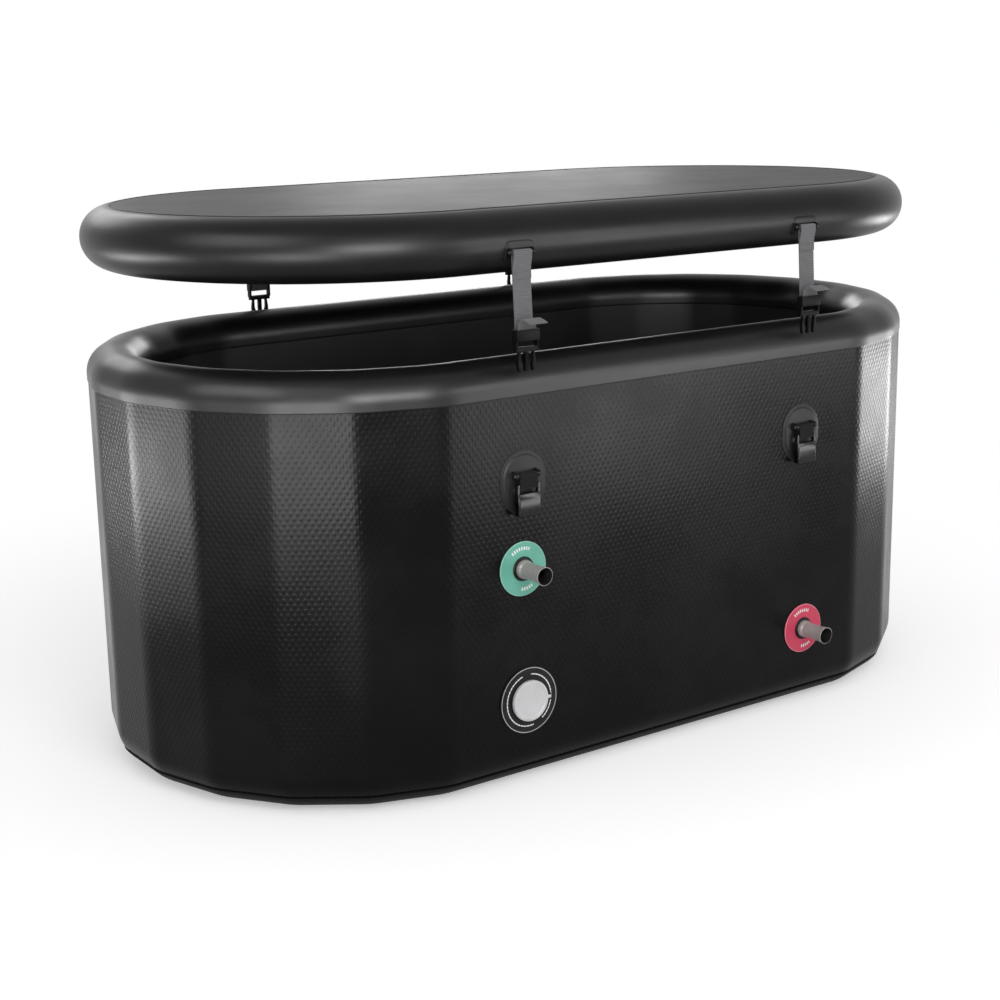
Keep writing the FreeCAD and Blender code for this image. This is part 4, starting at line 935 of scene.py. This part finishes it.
def valve_spring(place):
    """A merged copy of a valve's spring with its own mesh, in spring steel, hung on the spring's body."""
    node, press = f"{place}_valve_spring", f"{place}_valve_press"
    shell = merged(node)
    name, body = node + "_coil", NODES[node]["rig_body"]
    mesh = bpy.data.meshes.new(name)
    shell.to_mesh(mesh)
    shell.free()
    coil = finish_piece(name, mesh, spring_steel, body, (node,), SPRING_SHARP)
    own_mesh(coil)


def softened(node, finish, width):
    """A merged copy of a node whose sharp edges are rounded by a small width."""
    shell = merged(node)
    bmesh.ops.dissolve_limit(
        shell,
        angle_limit=FLAT_WITHIN,
        verts=shell.verts,
        edges=shell.edges,
        use_dissolve_boundaries=False,
    )
    edges = [edge for edge in shell.edges if edge.is_manifold and edge.calc_face_angle(0) > SHARP_OVER]
    bmesh.ops.bevel(
        shell, geom=edges, offset=width, segments=2, profile=0.5, affect="EDGES", clamp_overlap=True
    )
    name, body = node + "_soft", NODES[node]["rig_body"]
    mesh = bpy.data.meshes.new(name)
    shell.to_mesh(mesh)
    shell.free()
    finish_piece(name, mesh, finish, body, (node,), SOFT_SHARP)


def make_hard_pieces():
    """Buckles, caps and inner nuts with softened edges, merged copies of the springs, and the other
    fittings, which keep their CAD shape."""
    for name in STATIONS:
        softened(f"socket_{name}", socket_plastic, BUCKLE_SOFT)
        softened(f"tongue_{name}", tongue_plastic, BUCKLE_SOFT)
    for place in ("wall", "lid"):
        softened(f"{place}_valve_cap", valve_plastic, CAP_SOFT)
        valve_spring(place)
    softened("port_inner_nuts", fitting_plastic, NUT_SOFT)
    kept = {
        "inlet_disc": inlet_plastic,
        "outlet_disc": outlet_plastic,
        "inlet_spout": spout_plastic("inlet_grey", "inlet_spout"),
        "outlet_spout": spout_plastic("outlet_grey", "outlet_spout"),
        "inlet_stopper": soft_rubber,
        "outlet_stopper": soft_rubber,
        "port_gaskets": soft_rubber,
        "port_sleeves": fitting_plastic,
        "port_lock_rings": fitting_plastic,
        "wall_anchor_pins": pin_steel,
        "lid_anchor_pins": pin_steel,
        "wall_valve_flange": wall_flange,
        "lid_valve_flange": fitting_plastic,
    }
    for place in ("wall", "lid"):
        kept[f"{place}_valve_body"] = valve_plastic
        kept[f"{place}_valve_nut"] = fitting_plastic
        kept[f"{place}_valve_plunger"] = valve_plastic
        kept[f"{place}_valve_seal"] = soft_rubber
        kept[f"{place}_valve_hinge_pin"] = pin_steel
    for node, finish in kept.items():
        NODES[node].data.materials.clear()
        NODES[node].data.materials.append(finish.material)


# Stage, light and camera
FLOOR_LIFT = 0.38
FLOOR_FADE = (0.95, 1.9)
FLOOR_RADIUS, FLOOR_SEGMENTS = 30, 96
FLOOR_DROP = 0.5 * MM
WORLD_LIGHT = 0.65


def seen_ray(tree):
    """1 for rays from the camera, from gloss and through glass, which see the white surround."""
    path = tree.nodes.new("ShaderNodeLightPath")
    either = path.outputs["Is Camera Ray"]
    for name in ("Is Glossy Ray", "Is Transmission Ray"):
        pick = tree.nodes.new("ShaderNodeMath")
        pick.operation = "MAXIMUM"
        tree.links.new(either, pick.inputs[0])
        tree.links.new(path.outputs[name], pick.inputs[1])
        either = pick.outputs[0]
    return either


def floor_finish():
    """Pale floor that keeps the shadow near the tub and fades to plain white further out."""
    made = Finish("studio_pale", (0.86, 0.86, 0.86), 0.9, specular_ior_level=0.1)
    x, y = made.coords("Object")[:2]
    far = made.fit(made.distance(x, y), *FLOOR_FADE, 0.0, 1.0)
    seen = seen_ray(made.tree)
    made.set("Emission Color", (1, 1, 1, 1))
    made.set("Emission Strength", made.math("MULTIPLY", seen, FLOOR_LIFT))
    white = made.node("Emission", (1, 1, 1, 1), 1.0).outputs[0]
    mix = made.node("MixShader", made.math("MULTIPLY", seen, far), made.shader.outputs[0], white)
    made.tree.links.new(mix.outputs[0], made.tree.nodes["Material Output"].inputs["Surface"])
    return made


def make_stage():
    """A floor disc and a white surround that lights the object more weakly than it looks."""
    floor = bpy.data.meshes.new("studio_floor")
    disc = bmesh.new()
    sunk = Matrix.Translation((0, 0, -FLOOR_DROP))
    bmesh.ops.create_circle(disc, cap_ends=True, segments=FLOOR_SEGMENTS, radius=FLOOR_RADIUS, matrix=sunk)
    disc.to_mesh(floor)
    disc.free()
    floor.materials.append(floor_finish().material)
    piece = bpy.data.objects.new("studio_floor", floor)
    bpy.context.scene.collection.objects.link(piece)

    world = bpy.data.worlds.new("studio")
    bpy.context.scene.world = world
    world.use_nodes = True
    tree = world.node_tree
    level = tree.nodes.new("ShaderNodeMapRange")
    tree.links.new(seen_ray(tree), level.inputs["Value"])
    level.inputs["To Min"].default_value = WORLD_LIGHT
    level.inputs["To Max"].default_value = 1.0
    tree.links.new(level.outputs[0], tree.nodes["Background"].inputs["Strength"])
    tree.nodes["Background"].inputs["Color"].default_value = (1, 1, 1, 1)


def soft_box(name, place, aim, size, radiance, gloss_only=True):
    """A rectangular lamp that points at a spot, with a radiance that does not change with its size.
    A gloss-only lamp shows in shiny surfaces and leaves the plain light level as it is."""
    lamp = bpy.data.lights.new(name, "AREA")
    lamp.shape = "RECTANGLE"
    lamp.size, lamp.size_y = size
    lamp.energy = radiance * math.pi * size[0] * size[1]
    light = bpy.data.objects.new(name, lamp)
    light.location = place
    light.rotation_euler = (Vector(aim) - Vector(place)).to_track_quat("-Z", "Y").to_euler()
    light.visible_camera = False
    light.visible_diffuse = not gloss_only
    bpy.context.scene.collection.objects.link(light)


def make_lights():
    """A plain key over the camera's shoulder, low strips that the facets mirror, higher ones for the
    lid, the rim and the buckles, and strips behind."""
    soft_box("key", (-0.8, -3.0, 2.2), (0, -0.3, 0.4), (2.0, 2.0), 3, gloss_only=False)
    soft_box("near", (-1.77, -1.34, 0.33), (-0.58, -0.31, 0.5), (0.95, 0.55), 23)
    soft_box("left", (-2.05, 0.9, 0.16), (-0.7, 0, 0.5), (1.5, 0.3), 25)
    soft_box("corner", (-2.18, -0.62, 0.32), (-0.66, -0.22, 0.45), (0.45, 0.5), 8.5)
    soft_box("rim_left", (-2.18, -0.62, 1.9), (-0.6, -0.2, 0.65), (1.6, 1.2), 9)
    soft_box("lid_left", (-0.9, -1.9, 0.95), (-0.3, -0.3, 0.8), (0.9, 0.6), 34)
    soft_box("front_low", (0.9, -1.9, 0.19), (0.05, -0.39, 0.5), (0.84, 0.32), 12)
    soft_box("front_mid", (1.3, -1.72, 0.47), (0.15, -0.39, 0.5), (1.0, 0.3), 11)
    soft_box("front_high", (0.75, -1.95, 0.95), (0.05, -0.39, 0.7), (0.9, 0.45), 13)
    soft_box("right_low", (2.25, -0.35, 0.18), (0.65, -0.1, 0.75), (0.85, 0.32), 17)
    soft_box("left_back", (-0.6, 1.8, 1.6), (-0.7, 0.1, 0.62), (1.1, 0.6), 4.5)
    soft_box("back_strip", (1.45, 2.2, 1.15), (0, 0, 0.86), (1.1, 0.6), 6)


VIEW_AZIMUTH, VIEW_TILT, VIEW_ROLL = -35.24, 13.61, -0.99
VIEW_DISTANCE = 3104.85 * MM
VIEW_AIM = (0, 0, 325 * MM)
VIEW_SHIFT = (-37.9 * MM, 0.99 * MM)
VIEW_LENS, VIEW_SENSOR = 64.47, 36


def make_camera():
    """The photograph's viewpoint: turned about the aim, rolled a little and moved sideways."""
    azimuth, tilt, roll = (math.radians(angle) for angle in (VIEW_AZIMUTH, VIEW_TILT, VIEW_ROLL))
    level = Vector((math.cos(azimuth), math.sin(azimuth), 0))
    ground = math.cos(tilt)
    back = Vector((math.sin(azimuth) * ground, -math.cos(azimuth) * ground, math.sin(tilt)))
    upright = back.cross(level)
    right = math.cos(roll) * level + math.sin(roll) * upright
    up = math.cos(roll) * upright - math.sin(roll) * level
    data = bpy.data.cameras.new("camera")
    data.lens = VIEW_LENS
    data.sensor_width = VIEW_SENSOR
    camera = bpy.data.objects.new("camera", data)
    place = Vector(VIEW_AIM) + back * VIEW_DISTANCE + right * VIEW_SHIFT[0] + up * VIEW_SHIFT[1]
    turn = Matrix((right, up, back)).transposed().to_4x4()
    camera.matrix_world = Matrix.Translation(place) @ turn
    bpy.context.scene.collection.objects.link(camera)
    bpy.context.scene.camera = camera


make_tub()
make_lid()
make_straps()
make_patches()
make_hard_pieces()
make_stage()
make_lights()
make_camera()
bpy.context.scene.view_settings.view_transform = "Standard"
